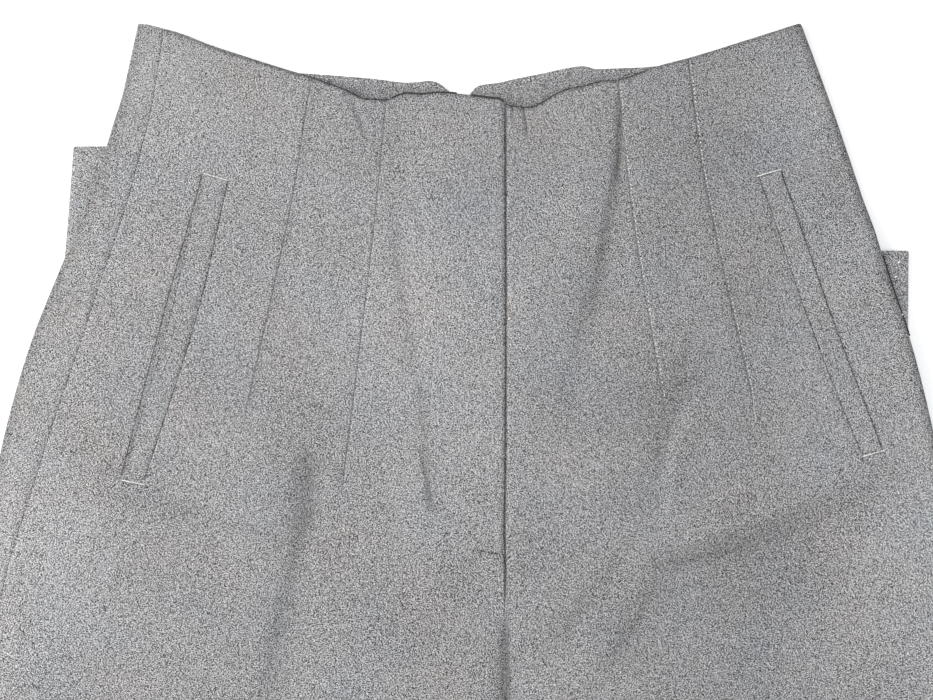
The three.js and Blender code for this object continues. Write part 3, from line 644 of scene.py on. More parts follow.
def painted_light_at(name, x, y):
    """The painted light and shade at places on a piece, as a share of the cloth's colour."""
    light = read(PAINTED_LIGHT_ACROSS, x)
    for patch_x, patch_y, reach, share in PAINTED_LIGHT_PATCHES:
        light += share * bell(np.hypot(x - patch_x, y - patch_y), reach)
    # painted light and shade on the hems
    light *= PAINTED_HEM_LIGHT.get(name, 1)
    # painted shade beside the seams and the fly's edge
    if name.startswith(("front", "welt")):
        light *= painted_seam_light(x, y)
    # painted shade where the cloth turns away at the side edges
    if name.startswith(("front", "back_right")):
        leg = LEFT if "left" in name else RIGHT
        share, reach = PAINTED_SIDE_SHADE[leg["name"]]
        light *= 1 - share * bell(outer_edge(leg, y) - leg["side"] * CLOTH / 2 - x, reach)
    if name.startswith("front"):
        # painted shade in the folds, painted light on the ridges
        light *= 1 + PAINTED_HOLLOW_SHADE * np.clip(fold_relief(x, y), *HOLLOW_RANGE)
        # painted shade along folds and creases
        for start, bend, end, share, width in PAINTED_FOLD_SHADES:
            distance, along = nearest((start, bend, end), x, y)
            light *= 1 - share * bell(distance, width) * ends_fade(along)
        # painted shade along the front's top edge
        share, reach = PAINTED_TOP_SHADE
        light *= 1 - share * bell(np.maximum(0, curve_of(FRONT_WAIST, x) - y), reach)
    return light


def solid(name, verts, faces, material, weave):
    """A mesh object from points in millimetres, turned so that its faces point out."""
    p = to_scene(verts)
    a, b, c, d = (p[faces[:, k]] for k in range(4))
    volume = (np.cross(b - a, c - a) * a).sum() + (np.cross(c - a, d - a) * a).sum()
    if volume < 0:
        faces = faces[:, ::-1]
        weave = weave.reshape(-1, 4, 2)[:, ::-1].reshape(-1, 2)
    mesh = bpy.data.meshes.new(name)
    mesh.vertices.add(len(p))
    mesh.vertices.foreach_set("co", p.astype(np.float32).ravel())
    mesh.loops.add(faces.size)
    mesh.loops.foreach_set("vertex_index", faces.astype(np.int32).ravel())
    mesh.polygons.add(len(faces))
    mesh.polygons.foreach_set("loop_start", np.arange(0, faces.size, 4, dtype=np.int32))
    mesh.polygons.foreach_set("use_smooth", np.ones(len(faces), bool))
    layer = mesh.uv_layers.new(name="weave")
    layer.data.foreach_set("uv", weave.astype(np.float32).ravel())
    # The painted light and shade go on the mesh as a point attribute.
    painted_light = mesh.attributes.new("painted_light", "FLOAT", "POINT")
    painted_light.data.foreach_set("value", painted_light_at(name, verts[:, 0], verts[:, 1]).astype(np.float32))
    mesh.update(calc_edges=True)
    mesh.validate()
    mesh.materials.append(material)
    return place_in_scene(name, mesh)


# Materials

def linear(hex_colour):
    """An sRGB hex colour as linear RGBA."""
    values = [int(hex_colour[k:k + 2], 16) / 255 for k in (1, 3, 5)]
    return (*[c / 12.92 if c <= 0.04045 else ((c + 0.055) / 1.055) ** 2.4 for c in values], 1.0)


def add_node(tree, kind, settings=None, inputs=None):
    """A node with its settings, and inputs given as a value or as another node's output."""
    node = tree.nodes.new(kind)
    for key, value in (settings or {}).items():
        setattr(node, key, value)
    for key, value in (inputs or {}).items():
        if isinstance(value, bpy.types.NodeSocket):
            tree.links.new(value, node.inputs[key])
        else:
            node.inputs[key].default_value = value
    return node


FLECK_MM = 0.5  # from one dark fleck of the marled yarn to the next, as fine as the picture can show
FLECK_LENGTH_MM = 0.72  # the same along the twill
TWILL_ANGLE = 24
CONTRAST = 2.0  # how far the flecks go apart, from the dark fibre to the pale one
MEAN_DISTANCE = 0.43  # of the fleck pattern, which is then level on average
FIBRE_MM, FIBRES = 0.3, 1.3  # a tuft of pale or of dark fibres, across, and how far apart these are in grey
CLUMP_MM, CLUMPS = 2.6, 0.2  # the same for clumps of fibre
SHADE_MM, SHADES = 70, 0.22  # and for the drift of the whole shade
LINT_MM, LINT_SIZE, LINT = 26, 0.011, "#e6e6e4"  # lint: between specks, their share of it, colour
COOL, WARM = "#f2f9ff", "#fffbf7"  # the dye drifts a little between these
DYE_MM = 45  # from one drift to the next
BUMP, BUMP_MM = 0.35, 0.25  # how strongly and how deeply the flecks stand out
STITCH_TWISTS = 2500.0  # of the sewing thread's ply, in a metre


def maths(tree, operation, *values):
    return add_node(tree, "ShaderNodeMath", {"operation": operation}, dict(enumerate(values))).outputs[0]


def vector_maths(tree, operation, inputs):
    return add_node(tree, "ShaderNodeVectorMath", {"operation": operation}, inputs).outputs[0]


def blend(tree, share, one, other):
    """A colour between two, which are given as hex colours or as other nodes' outputs."""
    one, other = (linear(colour) if isinstance(colour, str) else colour for colour in (one, other))
    settings, inputs = {"data_type": "RGBA"}, {"Factor": share, 6: one, 7: other}
    return add_node(tree, "ShaderNodeMix", settings, inputs).outputs[2]


def clouds(tree, place, size_mm, roughness=0.5):
    """Soft noise, with patches of a size."""
    inputs = {"Vector": place, "Scale": 1000 / size_mm, "Detail": 2.0, "Roughness": roughness}
    return add_node(tree, "ShaderNodeTexNoise", {"noise_dimensions": "2D"}, inputs).outputs["Fac"]


def spots(tree, place, scale):
    """Distance from the nearest of many scattered spots."""
    settings = {"voronoi_dimensions": "2D", "feature": "F1"}
    inputs = {"Vector": place, "Scale": scale, "Randomness": 1.0}
    return add_node(tree, "ShaderNodeTexVoronoi", settings, inputs).outputs["Distance"]


def new_material(name, **settings):
    """A material, its node tree and its shader, with settings of the shader."""
    material = bpy.data.materials.new(name)
    material.use_nodes = True
    shader = material.node_tree.nodes["Principled BSDF"]
    for key, value in settings.items():
        shader.inputs[key.replace("_", " ")].default_value = value
    return material, material.node_tree, shader


def suiting(name, dark, light, sheen):
    """Marled worsted flannel: yarns spun from black and white fibre, so that each float is a different grey.
    Matt, softly raised, with a thin pale halo of fibre ends where it turns away."""
    material, tree, shader = new_material(
        name, Roughness=0.92, Specular_IOR_Level=0.25, Sheen_Weight=sheen, Sheen_Roughness=0.5)
    weave = add_node(tree, "ShaderNodeUVMap", {"uv_map": "weave"}).outputs["UV"]
    floats = add_node(tree, "ShaderNodeMapping", {"vector_type": "TEXTURE"}, {
        "Vector": weave, "Rotation": (0, 0, math.radians(TWILL_ANGLE)),
        "Scale": (FLECK_LENGTH_MM / 1000, FLECK_MM / 1000, 1)}).outputs["Vector"]
    fleck = spots(tree, floats, 1.0)
    grey = maths(tree, "MULTIPLY_ADD", fleck, CONTRAST, 0.5 - MEAN_DISTANCE * CONTRAST)
    tuft = vector_maths(tree, "SNAP", {0: weave, 1: (FIBRE_MM / 1000,) * 3})
    fibre = add_node(tree, "ShaderNodeTexWhiteNoise", {"noise_dimensions": "2D"}, {"Vector": tuft})
    layers = [(fibre.outputs["Value"], FIBRES), (clouds(tree, weave, CLUMP_MM, 0.6), CLUMPS),
              (clouds(tree, weave, SHADE_MM), SHADES)]
    for layer, share in layers:
        grey = maths(tree, "ADD", grey, maths(tree, "MULTIPLY_ADD", layer, share, -share / 2))
    colour = blend(tree, grey, dark, light)
    speck = maths(tree, "LESS_THAN", spots(tree, weave, 1000 / LINT_MM), LINT_SIZE)
    colour = blend(tree, speck, colour, LINT)
    tint = blend(tree, clouds(tree, weave, DYE_MM), COOL, WARM)
    colour = vector_maths(tree, "MULTIPLY", {0: colour, 1: tint})
    # The cloth's colour is scaled by each piece's painted light and shade.
    painted_light = add_node(tree, "ShaderNodeAttribute", {"attribute_name": "painted_light"}).outputs["Fac"]
    colour = vector_maths(tree, "SCALE", {0: colour, "Scale": painted_light})
    tree.links.new(colour, shader.inputs["Base Color"])
    inputs = {"Height": fleck, "Strength": BUMP, "Distance": BUMP_MM / 1000}
    bump = add_node(tree, "ShaderNodeBump", {}, inputs)
    tree.links.new(bump.outputs["Normal"], shader.inputs["Normal"])
    return material


def plain_thread(name, colour, roughness):
    """Spun polyester sewing thread: a fine ribbed matt cord, with a faint sheen."""
    material, tree, shader = new_material(name, Roughness=roughness, Sheen_Weight=0.1)
    place = add_node(tree, "ShaderNodeTexCoord").outputs["Object"]
    inputs = {"Vector": place, "Scale": STITCH_TWISTS, "Detail": 1.0}
    twist = add_node(tree, "ShaderNodeTexNoise", {}, inputs).outputs["Fac"]
    dark = linear(colour)
    pale = (*[1.5 * channel for channel in dark[:3]], 1.0)
    tree.links.new(blend(tree, twist, dark, pale), shader.inputs["Base Color"])
    return material


SUITING = suiting("marled worsted flannel", "#000000", "#c3c2c3", 0.04)
# The facing inside the back waist: the same flannel, painted darker as painted shade.
FACING_CLOTH_PAINTED_DARKER = suiting("marled flannel, inside of the waist, painted shade", "#000000", "#b9b8b9", 0.03)
TAPE = suiting("dark grey woven polyester zip tape", "#3a3b3e", "#58595c", 0.0)
GREY_THREAD = plain_thread("dark grey polyester thread", "#2e2f32", 0.65)
DARK_THREAD = plain_thread("charcoal polyester thread", "#1c1c1f", 0.65)
PALE_THREAD = plain_thread("pale grey polyester thread", "#e4e4e1", 0.55)
LINT_GREY = plain_thread("cut end of grey thread", "#b4b4b2", 0.6)


# The pieces

DENSE_END = -340  # rows are close together down to here
FOLD_ROWS = 12
BACK_COLUMNS = 60


def rows_of(leg, dense, sparse):
    body = np.linspace(SIDE_RISE, CROTCH, int((SIDE_RISE - CROTCH) / dense) + 1)
    crotch = np.linspace(0, 1, 6)[1:]
    near = np.arange(CROTCH - CROTCH_TURN - dense, DENSE_END, -dense)
    below = np.linspace(near[-1], leg["fold"], int((near[-1] - leg["fold"]) / sparse) + 1)[1:]
    fold = np.linspace(0, 180, FOLD_ROWS + 1)[1:]
    edge = np.concatenate([body, CROTCH - crotch * CROTCH_TURN, near, below, np.full(len(fold), leg["fold"])])
    turned = np.concatenate([np.zeros(len(body)), crotch, np.ones(len(near) + len(below) + len(fold))])
    return Rows(edge, turned, np.concatenate([np.zeros(len(edge) - len(fold)), fold]))


FRONT_ROWS = {leg["name"]: rows_of(leg, 2.0, 8) for leg in (RIGHT, LEFT)}
BACK_ROWS = {leg["name"]: rows_of(leg, 3.4, 9) for leg in (RIGHT, LEFT)}


def front_columns(leg, rows, start, centre, turn, end):
    tuck, welt = TUCKS[leg["name"]], WELTS[leg["name"]]
    guides = start + [
        *around(line_distance(leg, rows, welt["outer"]), 14, 3, 3),
        *around(line_distance(leg, rows, welt["inner"]), 4, 3, 3),
        *around(line_distance(leg, rows, tuck["outer"]), 22, 4, 5),
        *around(line_distance(leg, rows, tuck["inner"]), 12, 16, 12),
    ]
    for x, count in centre:
        place = np.where(rows.turned > 0, inner_edge(leg, rows.edge) + x, x)
        guides.append((ring_distance(leg, rows, place), count))
    return columns_through(guides + [(turn, 5), (end, 6)])


def back_columns(leg, rows, start):
    middle_y = row_y(leg, rows.edge, CENTRE_BACK, "back")
    centre = mix(0, CENTRE_BACK, np.clip((middle_y - CROTCH) / -CROTCH, 0, 1))
    end = ring_end(leg, rows, centre - leg["side"] * SEAM_GAP / 2)
    notch = end - NOTCH[leg["name"]]
    return columns_through(start + [(-notch, BACK_COLUMNS), (-end + QUARTER, 14), (-end, 4)])


def fly_gap(rows):
    return mix(FLY_SEAM_GAP, SEAM_GAP, smooth((rows.edge - FLY_END + 30) / 20))


def right_seam(rows):
    return ring_distance(RIGHT, rows, outline("seam", rows.edge))


def guides_at(rows, *places):
    """Guides at the same distance in every row, each with its number of columns."""
    return [(np.full_like(rows.edge, distance), count) for distance, count in places]


def panel(name, leg, face, rows, columns):
    """A front or a back, and the points in the middle of its cloth."""
    points = ring_points(leg, rows, columns)
    return shell(name, points, normals_of(points, leg, face), CLOTH, SUITING), points


rows = FRONT_ROWS["right"]
start = [(right_seam(rows) + SEAM_GAP / 2, 0)]
end = ring_end(RIGHT, rows, centre_line(rows.edge) - fly_gap(rows) / 2)
columns = front_columns(RIGHT, rows, start, [(-38, 30), (-11, 18)], end - QUARTER, end)
front_right, front_right_points = panel("front_right_cloth", RIGHT, "front", rows, columns)

rows = FRONT_ROWS["left"]
shield = FLY["shield"] * smooth((rows.edge - FLY["shield_end"] + 20) / 20)
start = guides_at(rows, (-LEFT_SEAM_UNDER, 0), (-QUARTER, 2), (0, 5), (QUARTER, 5))
end = ring_end(LEFT, rows, centre_line(rows.edge) + fly_gap(rows) / 2 - shield)
turn = end - np.maximum(QUARTER, shield - 2)
columns = front_columns(LEFT, rows, start, [(26, 22), (14, 12), (5, 16), (-1, 12)], turn, end)
front_left, _ = panel("front_left_cloth", LEFT, "front", rows, columns)

rows = BACK_ROWS["right"]
start = [(right_seam(rows) - SEAM_GAP / 2, 0), *guides_at(rows, (QUARTER, 6), (0, 5), (-QUARTER, 5))]
columns = back_columns(RIGHT, rows, start)
back_right, back_right_points = panel("back_right_cloth", RIGHT, "back", rows, columns)

rows = BACK_ROWS["left"]
columns = back_columns(LEFT, rows, guides_at(rows, (-LEFT_SEAM_UNDER - SEAM_GAP, 0)))
back_left, back_left_points = panel("back_left_cloth", LEFT, "back", rows, columns)


def facing(name, leg, points, first):
    """The shaped facing on the inside of the back waist, cut from the panel's own points."""
    normals = normals_of(points, leg, "back")
    lift = CLOTH / 2 + FACING["gap"] + FACING["cloth"] / 2
    kept = points[:, -1, 1] > points[0, -1, 1] - FACING["depth"]
    part = points[kept][:, first:] - normals[kept][:, first:] * lift
    step = np.linalg.norm(part[1] - part[0], axis=-1, keepdims=True)
    part[0] = mix(part[0], part[1], np.minimum(0.9, FACING["set_back"] / np.maximum(step, 0.5)))
    return shell(name, part, normals[kept][:, first:], FACING["cloth"], FACING_CLOTH_PAINTED_DARKER)


back_facing_right = facing("back_facing_right_cloth", RIGHT, back_right_points, 21)
back_facing_left = facing("back_facing_left_cloth", LEFT, back_left_points, 1)


def welt(name, leg, ditch, mouth=None):
    """A pocket welt on its front, between the lines of its two long edges."""
    lines = WELTS[leg["name"]]
    body = FRONT_ROWS[leg["name"]]
    middle = line_distance(leg, body, lines["outer"]) / 2 + line_distance(leg, body, lines["inner"]) / 2
    heights = ring_points(leg, body, middle)[:, 0, 1]
    top, bottom = np.interp(welt_ends(lines), heights[::-1], body.edge[::-1, 0])
    rows = Rows(np.linspace(top, bottom, 130))
    outer, inner = (line_distance(leg, rows, lines[k]) for k in ("outer", "inner"))
    columns = columns_through([(outer + 0.5, 0), (outer + 1.1, 3), (inner - 1.1, 22), (inner - 0.5, 3)])
    points = ring_points(leg, rows, columns)
    normals = normals_of(points, leg, "front")
    beside = np.minimum(columns - outer, inner - columns)
    lift = CLOTH / 2 + 0.05 + WELT_CLOTH / 2 - ditch * np.exp(-beside / 0.5)
    if mouth:
        x, y = points[..., 0], points[..., 1]
        held = smooth((mouth[0][1] - y) / 12) * smooth((y - mouth[2][1]) / 12)
        lift -= ditch * held * bell(x - line_x(mouth, y), 0.5)
    return shell(name, points + normals * lift[..., None], normals, WELT_CLOTH, SUITING)


welt_right = welt("welt_right_cloth", RIGHT, WELT_DITCH["right"], MOUTH)
welt_left = welt("welt_left_cloth", LEFT, WELT_DITCH["left"])


def zip_tape(name, points):
    """The closed zip under the fly's overlap: a plain woven tape."""
    columns = points[:, -20:-6]
    normals = normals_of(points, RIGHT, "front")[:, -20:-6]
    height = columns[:, 3, 1]
    kept = (height < ZIP["top"]) & (height > ZIP["bottom"])
    lift = CLOTH / 2 + ZIP["gap"] + ZIP["cloth"] / 2
    return shell(name, columns[kept] - normals[kept] * lift, normals[kept], ZIP["cloth"], TAPE)


fly_zip = zip_tape("fly_zip_tape", front_right_points)


def lower_leg(name, leg, rows=90, across=44, turns=8):
    """Knee to hem of a leg, folded under: a flattened tube, open at the hem."""
    heights = np.linspace(leg["fold"] + CAD_GAP / 2, leg["hem"], rows)[:, None]
    edges = lower_edges(leg, heights)
    low_x = np.minimum(*edges) + CAD_CLOTH / 2 + EDGE_RADIUS
    high_x = np.maximum(*edges) - CAD_CLOTH / 2 - EDGE_RADIUS
    angle = np.linspace(np.pi / 2, 3 * np.pi / 2, turns, endpoint=False)[None]
    t = np.linspace(0, 1, across, endpoint=False)[None]
    flat = np.ones_like(t)
    out = np.concatenate([np.cos(angle), 0 * t, -np.cos(angle), 0 * t], 1)
    rise = np.concatenate([np.sin(angle), -flat, -np.sin(angle), flat], 1)
    left_turn, right_turn = low_x + 0 * angle, high_x + 0 * angle
    x = np.concatenate([left_turn, mix(low_x, high_x, t), right_turn, mix(high_x, low_x, t)], 1)
    x = x + EDGE_RADIUS * out
    points = np.stack(np.broadcast_arrays(x, heights, LEG_STACK / 2 + EDGE_RADIUS * rise), -1)
    normals = np.stack(np.broadcast_arrays(out, 0 * x, rise), -1)
    return shell(name, points, normals, CLOTH, SUITING, closed=True)


lower_leg_right = lower_leg("lower_leg_right_cloth", RIGHT)
lower_leg_left = lower_leg("lower_leg_left_cloth", LEFT)

PIECES = {
    "front_right": front_right, "front_left": front_left, "back_right": back_right, "back_left": back_left,
    "back_facing_right": back_facing_right, "back_facing_left": back_facing_left, "welt_right": welt_right,
    "welt_left": welt_left, "fly_zip": fly_zip, "lower_leg_right": lower_leg_right,
    "lower_leg_left": lower_leg_left,
}
for node, piece in PIECES.items():
    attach(piece, "root")
    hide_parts(node)
for node, piece in PIECES.items():
    width, length, area = CUTS[piece.name]


# Stitches

WOBBLE = 0.12  # radians that a stitch may lie askew


def stitch_tree():
    """Stitches along a line: a small rounded float of thread on each point, lying along the line, no
    two quite alike."""
    tree = bpy.data.node_groups.new("stitches", "GeometryNodeTree")
    face = tree.interface
    sockets = {
        "Line": "Geometry", "Pitch": "Float", "Length": "Float", "Width": "Float", "Height": "Float",
        "Turn": "Float", "Unevenness": "Float", "Seed": "Int", "Thread": "Material",
    }
    for name, kind in sockets.items():
        face.new_socket(name, in_out="INPUT", socket_type="NodeSocket" + kind)
    face.new_socket("Stitches", in_out="OUTPUT", socket_type="NodeSocketGeometry")

    def made(kind, output, inputs, **settings):
        return add_node(tree, kind, settings, inputs).outputs[output]

    def chance(least, most):
        inputs = {2: least, 3: most, "Seed": given["Seed"]}
        return made("FunctionNodeRandomValue", 1, inputs, data_type="FLOAT")

    given = add_node(tree, "NodeGroupInput").outputs
    curve = made("GeometryNodeMeshToCurve", "Curve", {"Mesh": given["Line"]})
    inputs = {"Curve": curve, "Length": given["Pitch"]}
    places = made("GeometryNodeResampleCurve", "Curve", inputs, mode="LENGTH")
    ball = made("GeometryNodeMeshUVSphere", "Mesh", {"Segments": 6, "Rings": 4, "Radius": 0.5})
    inputs = {"X": given["Length"], "Y": given["Width"], "Z": given["Height"]}
    size = made("ShaderNodeCombineXYZ", "Vector", inputs)
    stitch = made("GeometryNodeTransform", "Geometry", {"Geometry": ball, "Scale": size})
    along = made("GeometryNodeInputTangent", "Tangent", {})
    lie = made("FunctionNodeAlignRotationToVector", "Rotation", {"Vector": along}, axis="X")
    turn = maths(tree, "ADD", given["Turn"], chance(-WOBBLE, WOBBLE))
    swing = made("FunctionNodeAxisAngleToRotation", "Rotation", {"Axis": (0, 0, 1), "Angle": turn})
    inputs = {"Rotation": lie, "Rotate By": swing}
    lie = made("FunctionNodeRotateRotation", "Rotation", inputs, rotation_space="LOCAL")
    length = chance(maths(tree, "SUBTRACT", 1.0, given["Unevenness"]), 1.0)
    inputs = {"Points": places, "Instance": stitch, "Rotation": lie, "Scale": length}
    placed = made("GeometryNodeInstanceOnPoints", "Instances", inputs)
    solid_mesh = made("GeometryNodeRealizeInstances", "Geometry", {"Geometry": placed})
    soft = made("GeometryNodeSetShadeSmooth", "Geometry", {"Geometry": solid_mesh})
    done = made("GeometryNodeSetMaterial", "Geometry", {"Geometry": soft, "Material": given["Thread"]})
    add_node(tree, "NodeGroupOutput", {}, {"Stitches": done})
    return tree


STITCHES = stitch_tree()


def evaluated_mesh(item):
    bpy.context.view_layer.update()
    return bpy.data.meshes.new_from_object(item.evaluated_get(bpy.context.evaluated_depsgraph_get()))


def sewn(name, line, thread, pitch, length, width, height, turn=0.0, uneven=0.25, seed=1):
    """A row of stitches along a line of points. Sizes in millimetres."""
    mesh = bpy.data.meshes.new(name)
    mesh.from_pydata([tuple(p) for p in to_scene(line)], [(k, k + 1) for k in range(len(line) - 1)], [])
    piece = place_in_scene(name, mesh)
    sizes = {"Pitch": pitch / 1000, "Length": length / 1000, "Width": width / 1000, "Height": height / 1000,
             "Turn": turn, "Unevenness": uneven, "Seed": seed, "Thread": thread}
    modifier = piece.modifiers.new("stitches", "NODES")
    modifier.node_group = STITCHES
    for socket in STITCHES.interface.items_tree:
        if socket.item_type == "SOCKET" and socket.name in sizes:
            modifier[socket.identifier] = sizes[socket.name]
    made = evaluated_mesh(piece)
    piece.modifiers.remove(modifier)
    piece.data = made
    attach(piece, "root")


def surface(leg, x, y, lift=0.0):
    """Points on the outside of a front, at places in its plan."""
    x, y = np.broadcast_arrays(np.asarray(x, float), np.asarray(y, float))
    z = front_height(leg, x, y) - (fly_drop(x, y) if leg["side"] < 0 else 0) + CLOTH / 2 + lift
    return np.stack([x, y, z], -1)


def down_line(leg, line, top, bottom, lift=0.0, aside=0.0):
    y = np.arange(top, bottom, -1.0)
    return surface(leg, line_x(line, y) + aside, y, lift)


def between(leg, start, end, lift=0.0):
    """A straight line over the top of a front and of its welt."""
    t = np.linspace(0, 1, 14)
    x, y = mix(start[0], end[0], t), mix(start[1], end[1], t)
    return surface(leg, x, y, lift - welt_relief(x, y))


# Kinds of stitch: from one to the next, its length, width and height, and the share by which one may be
# shorter.
TUCK = dict(pitch=2.2, length=1.6, width=0.42, height=0.3)
TUCK_PALE = dict(pitch=2.2, length=1.2, width=0.4, height=0.3, uneven=0.6)
WELT = dict(pitch=1.7, length=1.8, width=0.56, height=0.44, uneven=0.5)
# wider dark stitches: thread, and painted shadow along its seam
WELT_AND_SHADOW = dict(WELT, width=0.75)
BAR_TACK = dict(pitch=0.36, length=1.0, width=0.34, height=0.4, uneven=0.4, turn=math.radians(70))
# dark thread drawn as the painted shadow under a bar tack
BAR_SHADE = dict(pitch=0.9, length=0.8, width=0.3, height=0.2, uneven=0.3)
FLY_TACK = dict(pitch=1.7, length=1.8, width=0.9, height=0.45, uneven=0.5, turn=math.radians(14))
FLY_MARK = dict(pitch=2.2, length=1.1, width=0.35, height=0.25, uneven=0.5)
FLY_EDGE = dict(pitch=2.4, length=2.1, width=0.5, height=0.36, uneven=0.4)
CENTRE_SEAM = dict(pitch=2.3, length=1.8, width=0.5, height=0.3, uneven=0.4)
POCKET_MOUTH = dict(pitch=2.1, length=1.7, width=0.46, height=0.3, uneven=0.45)
SIDE_SEAM = dict(pitch=2.1, length=1.8, width=0.52, height=0.36, uneven=0.45)
# a dark thread that draws a painted shadow line
SHADOW_THREAD = dict(pitch=0.9, length=1.7, width=1.15, height=0.9, uneven=0.3)
UNDERSTITCH = dict(pitch=2.5, length=1.0, width=0.4, height=0.3, uneven=0.5)

seed = 3
for leg in (RIGHT, LEFT):
    for place, line in TUCKS[leg["name"]].items():
        seed += 1
        top, foot = float(read(FRONT_WAIST, line[0][0])) - 2, line[2][1]
        name = "tuck_stitches_%s_%s" % (leg["name"], place)
        sewn(name, down_line(leg, line, top, foot, 0.05), DARK_THREAD, **TUCK, seed=seed)
        if leg is LEFT:
            beside = down_line(leg, line, top, foot, 0.06, 0.8)
            sewn(name + "_pale", beside, PALE_THREAD, **TUCK_PALE, seed=seed + 20)
    for place, line in WELTS[leg["name"]].items():
        seed += 1
        # the left welt's outer seam has wider, higher dark stitches, which are partly painted shadow
        with_shadow = leg is LEFT and place == "outer"
        name = "welt_stitches_%s_%s" % (leg["name"], place)
        seam = down_line(leg, line, line[0][1] - 1, line[2][1] + 1, 0.45 if with_shadow else 0.32)
        sewn(name, seam, DARK_THREAD, **(WELT_AND_SHADOW if with_shadow else WELT), seed=seed)

# Bar tacks: a satin of close threads across each end of a welt, with a row of dark thread below each as its
# painted shadow.
BAR_TACKS = {
    "right_top": (RIGHT, (-154.5, -41.3), (-142.1, -45)),
    "right_foot": (RIGHT, (-190.4, -199), (-179.5, -201.2)),
    "left_top": (LEFT, (130.4, -42.1), (142.6, -38.4)),
    "left_foot": (LEFT, (178.1, -187.1), (188.4, -184.1)),
}
for name, (leg, start, end) in BAR_TACKS.items():
    sewn("bar_tack_" + name, between(leg, start, end, 0.2), PALE_THREAD, **BAR_TACK, seed=5)
    below = between(leg, (start[0], start[1] - 0.7), (end[0], end[1] - 0.7), 0.2)
    sewn("bar_tack_shade_" + name, below, DARK_THREAD, **BAR_SHADE, seed=6)

sewn("bar_tack_fly", between(RIGHT, (-15.6, -233.4), (-1.6, -235.9), 0.2), DARK_THREAD, **FLY_TACK, seed=8)
mark_y = -4.0 - np.arange(16.0)
sewn("fly_mark_stitches", surface(RIGHT, -36.2, mark_y), GREY_THREAD, **FLY_MARK, seed=9)
fly_y = np.arange(-7.0, FLY_END + 2.0, -1.0)
fly_edge = surface(RIGHT, centre_line(fly_y), fly_y, -0.3) + (0.2, 0, 0)
sewn("fly_edge_stitches", fly_edge, DARK_THREAD, **FLY_EDGE, seed=16)
seam_y = np.arange(FLY_END - 2.0, CROTCH - 2.0, -1.0)
centre_seam = surface(RIGHT, centre_line(seam_y), seam_y, -0.02)
sewn("centre_seam_stitches", centre_seam, DARK_THREAD, **CENTRE_SEAM, seed=14)
mouth_line = down_line(RIGHT, MOUTH, -72.0, -188.0, 0.74)
sewn("pocket_mouth_stitches", mouth_line, DARK_THREAD, **POCKET_MOUTH, seed=15)
side_rows = Rows(np.arange(38, CROTCH, -1.5))
side_line = ring_points(RIGHT, side_rows, right_seam(side_rows))[:, 0] + (0, 0, CLOTH / 2 + 0.02)
sewn("side_seam_stitches", side_line, DARK_THREAD, **SIDE_SEAM, seed=10)

# Painted shadow along the front's top edge, drawn as a dark thread: from, to, and the line's width.
WAIST_SHADOW_LINES = [
    (-188, -103, 0.4), (-101, -60, 0.9), (-58, -24.5, 1.3), (-16.5, 0, 1.7), (1.5, 12, 0.5), (12, 58, 0.62),
    (60, 76, 0.45),
]
for k, (left_x, right_x, width) in enumerate(WAIST_SHADOW_LINES):
    x = np.arange(left_x, right_x, 0.8, dtype=float)
    y = curve_of(FRONT_WAIST, x)
    z = surface(RIGHT if right_x < 1 else LEFT, x, y)[:, 2] + 0.02
    line = np.stack([x, y + 0.32, z], -1)
    sewn("waist_shadow_line_%d" % k, line, DARK_THREAD, pitch=0.9, length=1.6, width=width, height=0.5, seed=30 + k)

# And a painted shadow line along the body's edge, over the left hem corner, drawn as dark overlocked thread.
y = np.arange(-84.0, -125.0, -0.8)
line = np.stack([outer_edge(LEFT, y) + CLOTH / 2 + 0.75, y, np.full_like(y, LEG_STACK + 1.0)], -1)
sewn("side_shadow_line_left", line, DARK_THREAD, **SHADOW_THREAD, seed=41)

# The understitching of the facing shows just inside the back's top edge.
UNDERSTITCH_BELOW = 1.9
for name, low_x, high_x in [("right", -118, -31), ("left", -14, 96)]:
    x = np.arange(low_x, high_x, 1.5, dtype=float)
    y = curve_of(BACK_WAIST, x) - UNDERSTITCH_BELOW
    z = back_height(x, y) + CLOTH / 2 + 0.15 + FACING["cloth"]
    sewn("understitch_" + name, np.stack([x, y, z], -1), PALE_THREAD, **UNDERSTITCH, seed=12)


def loose_thread(name, line, thread, width):
    """A cut end of thread lying on the cloth."""
    curve = bpy.data.curves.new(name, "CURVE")
    curve.dimensions = "3D"
    curve.bevel_depth = width / 2000
    curve.bevel_resolution = 1
    spline = curve.splines.new("POLY")
    spline.points.add(len(line) - 1)
    for point, place in zip(spline.points, to_scene(line)):
        point.co = (*place, 1)
    maker = place_in_scene(name + "_curve", curve)
    mesh = evaluated_mesh(maker)
    bpy.data.objects.remove(maker)
    mesh.materials.clear()
    mesh.materials.append(thread)
    piece = place_in_scene(name, mesh)
    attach(piece, "root")


x = np.array([124, 124.4, 124.9, 124.6, 123.6, 122.6])
y = np.array([-157, -162, -168, -170, -171.2, -170.4])
loose_thread("thread_end_left_tuck", surface(LEFT, x, y, 0.12), LINT_GREY, 0.26)
x = np.array([-257.5, -255.5, -253.8, -253.2])
y = np.array([-236.0, -235.2, -232.8, -229.6])
loose_thread("thread_end_right_side", surface(RIGHT, x, y, 0.15), DARK_THREAD, 0.5)

# Lint on the left hem and on the body's edge above it: where, and how high over the hem.
LINT_PLACES = [(201.7, -87, 0), (199.8, -94.5, 0), (195.6, -96.6, 1.6), (201.6, -114.7, 1.6)]
for k, (x, y, above) in enumerate(LINT_PLACES):
    z = LEG_STACK + 0.05 + above
    line = np.array([(x - 0.5, y - 0.3, z), (x + 0.1, y, z + 0.1), (x + 0.5, y + 0.4, z)])
    loose_thread("lint_%d" % (k + 1), line, PALE_THREAD, 0.7)


# Floor, light and camera

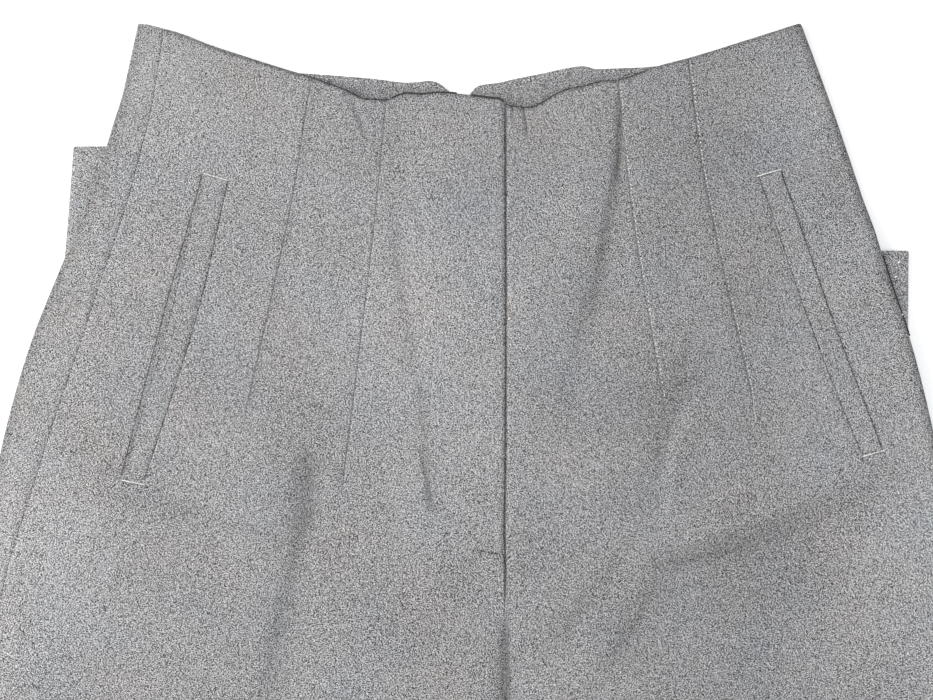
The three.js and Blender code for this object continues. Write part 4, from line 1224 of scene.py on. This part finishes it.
TARGET = to_scene([-19.5, -133.3, 8.0])
DISTANCE = 0.78
ELEVATION = math.radians(80)
VIEW_WIDTH = 0.4702
SENSOR_MM = 36
FLOOR_REACH = 6.0
FLOOR_LEVEL = -0.0004  # a little below the cloth, so that the two never share a surface

corners = [(x * FLOOR_REACH, y * FLOOR_REACH, FLOOR_LEVEL) for x, y in [(-1, -1), (1, -1), (1, 1), (-1, 1)]]
floor_mesh = bpy.data.meshes.new("floor")
floor_mesh.from_pydata(corners, [], [(0, 1, 2, 3)])
floor_mesh.materials.append(new_material(
    "white seamless paper", Base_Color=linear("#f4f4f4"), Roughness=0.9, Emission_Color=linear("#ffffff"),
    Emission_Strength=0.15)[0])
floor = place_in_scene("floor", floor_mesh)


def area_light(name, azimuth, elevation, distance, size, power, colour):
    """A soft square light that faces the garment. Azimuth 0 is over the knees, and it turns towards the right
    edge of the picture."""
    lamp = bpy.data.lights.new(name, "AREA")
    lamp.size = size
    lamp.energy = power
    lamp.color = linear(colour)[:3]
    az, el = math.radians(azimuth), math.radians(elevation)
    place = np.array([math.sin(az) * math.cos(el), -math.cos(az) * math.cos(el), math.sin(el)]) * distance
    item = place_in_scene(name, lamp)
    item.location = tuple(TARGET + place)
    item.rotation_euler = (math.pi / 2 - el, 0, az)


area_light("key", -92, 32, 1.5, 0.8, 22, "#fffcf8")
area_light("fill", 84, 26, 1.8, 0.9, 11, "#f2f6ff")
area_light("top", 0, 80, 2.6, 2.4, 16, "#fcfdff")
world = bpy.data.worlds.new("studio")
world.use_nodes = True
world.node_tree.nodes["Background"].inputs["Color"].default_value = (1, 1, 1, 1)
world.node_tree.nodes["Background"].inputs["Strength"].default_value = 0.62
bpy.context.scene.world = world
bpy.context.scene.view_settings.view_transform = "Standard"

camera_data = bpy.data.cameras.new("camera")
camera_data.sensor_width = SENSOR_MM
camera_data.lens = SENSOR_MM * DISTANCE / VIEW_WIDTH
camera_data.clip_start = 0.02
camera = place_in_scene("camera", camera_data)
camera.location = tuple(TARGET + DISTANCE * np.array([0, -math.cos(ELEVATION), math.sin(ELEVATION)]))
camera.rotation_euler = (math.pi / 2 - ELEVATION, 0, 0)
bpy.context.scene.camera = camera
